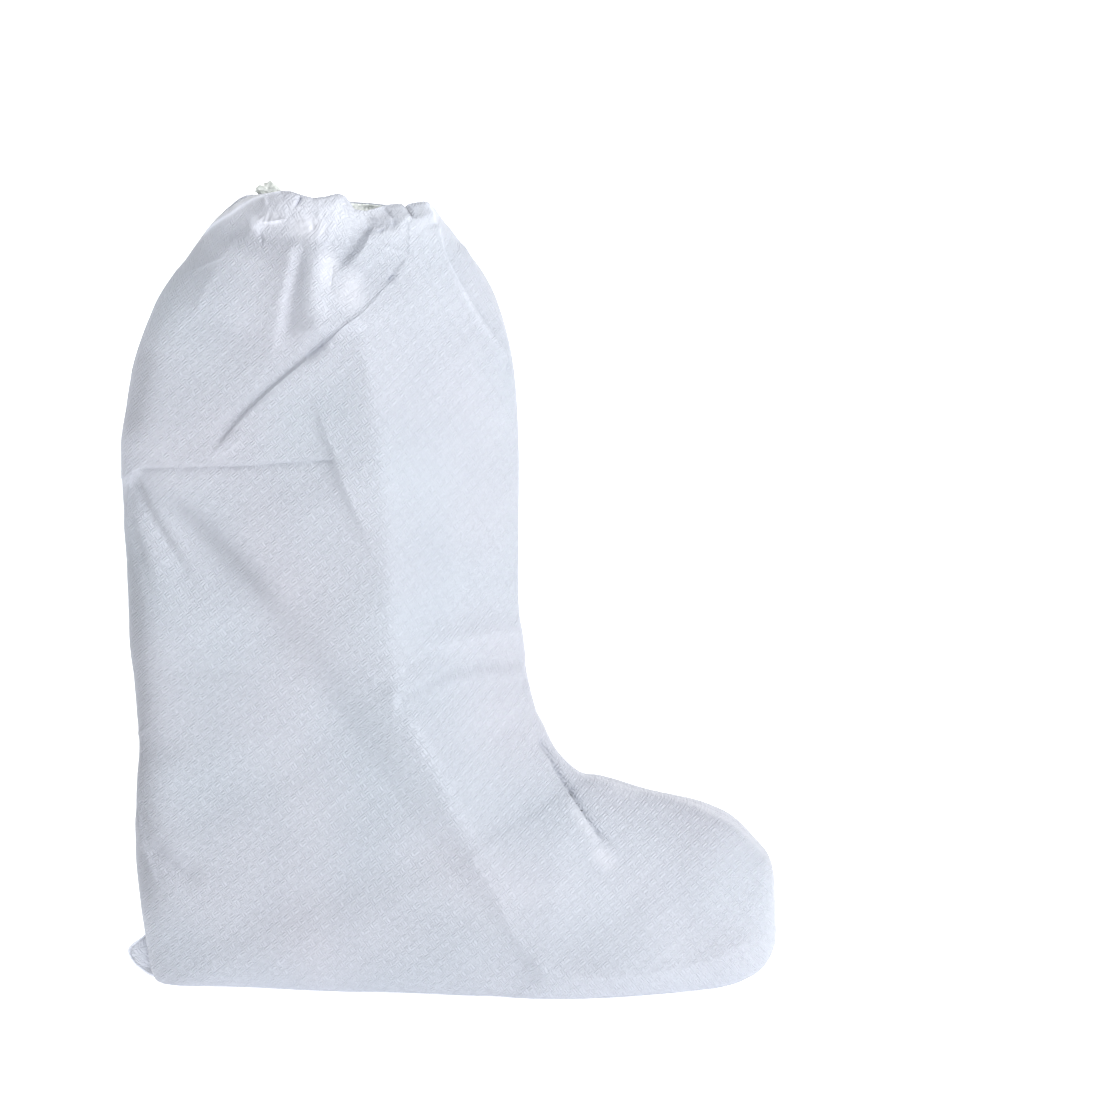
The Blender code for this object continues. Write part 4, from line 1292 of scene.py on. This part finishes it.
def addLights():
    for name in ("key", "fill", "top"):
        settings = lightSettings[name]
        data = bpy.data.lights.new(name, "AREA")
        data.size = settings["size"]
        data.energy = settings["power"]
        holder = bpy.data.objects.new(name, data)
        holder.location = settings["place"]
        aimed(holder, lightSettings["aim"])
        bpy.context.scene.collection.objects.link(holder)
    world = bpy.data.worlds.new("studio")
    world.use_nodes = True
    background = world.node_tree.nodes["Background"]
    background.inputs["Color"].default_value = lightSettings["worldColour"]
    background.inputs["Strength"].default_value = lightSettings["world"]
    bpy.context.scene.world = world
    bpy.context.scene.view_settings.view_transform = "Standard"


floorSettings = {
    "size": 6.0,
    "bendRadius": 1.0,
    "back": 2.5,
    "wallHeight": 3.5,
    "cells": 60,
    "wallGlow": 2.2,
    "wallFrom": 0.0,
    "wallTo": 0.45,
    "constants": {
        "Base Color": (0.86, 0.86, 0.86, 1.0),
        "Roughness": 0.9,
        "Emission Strength": 0.67,
    },
}



def addFloor():
    bm = bmesh.new()
    cells = floorSettings["cells"]
    bmesh.ops.create_grid(bm, x_segments=4, y_segments=cells, size=1.0)
    radius = floorSettings["bendRadius"]
    flat = floorSettings["size"] + floorSettings["back"]
    bend = radius * math.pi / 2
    for vertex in bm.verts:
        travelled = (vertex.co.y + 1) / 2 * (flat + bend + floorSettings["wallHeight"])
        angle = min(max((travelled - flat) / radius, 0.0), math.pi / 2)
        y = min(travelled, flat) + radius * math.sin(angle) - floorSettings["size"]
        z = radius * (1 - math.cos(angle)) + max(travelled - flat - bend, 0.0)
        vertex.co = (vertex.co.x * floorSettings["size"], y, z - coverSettings["wall"])
    bmesh.ops.recalc_face_normals(bm, faces=bm.faces)
    material, shader, wire = newMaterial("paleFloor", floorSettings["constants"])
    spot = wire.node("ShaderNodeTexCoord", {}, {}, output="Object")
    level = wire.node("ShaderNodeSeparateXYZ", {}, {0: spot}, output=2)
    low, high = floorSettings["wallFrom"], floorSettings["wallTo"]
    span = {1: low, 2: high, 3: 1.0, 4: floorSettings["wallGlow"]}
    bright = wire.node("ShaderNodeMapRange", {}, {0: level, **span})
    feed(shader, {"Emission Color": bright})
    mesh = bpy.data.meshes.new("floor")
    bm.to_mesh(mesh)
    bm.free()
    mesh.shade_smooth()
    mesh.materials.append(material)
    built = bpy.data.objects.new("floor", mesh)
    bpy.context.scene.collection.objects.link(built)


panelSettings = {
    "nearPanel": {
        "side": -1, "ear": False, "seed": 5, "rim": nearRim,
        "folds": nearFolds, "lumps": nearLumps, "crumples": nearCrumples, "paintedLightLines": nearPaintedLight,
    },
    "farPanel": {
        "side": 1, "ear": True, "seed": 105, "rim": None,
        "folds": farFolds, "lumps": farLumps, "crumples": farCrumples, "paintedLightLines": {},
    },
}  # fmt: skip
cadNodes = {"nearPanel": "near_panel", "farPanel": "far_panel"}

addCamera()
addLights()
addFloor()
print("stage ready", flush=True)

cloth = clothMaterial()
panels = {}
for name, panel in panelSettings.items():
    panels[name] = panelGrids(panel)
    print("worked out", name, flush=True)
    built = panelObject(name, panels[name], cloth)
    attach(built, "root")
    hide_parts(cadNodes[name])
    print("built", name, len(built.data.polygons), flush=True)

elastic = elasticObject(panels, elasticMaterial())
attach(elastic, "root")
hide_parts("top_elastic")
print("built topElastic", flush=True)
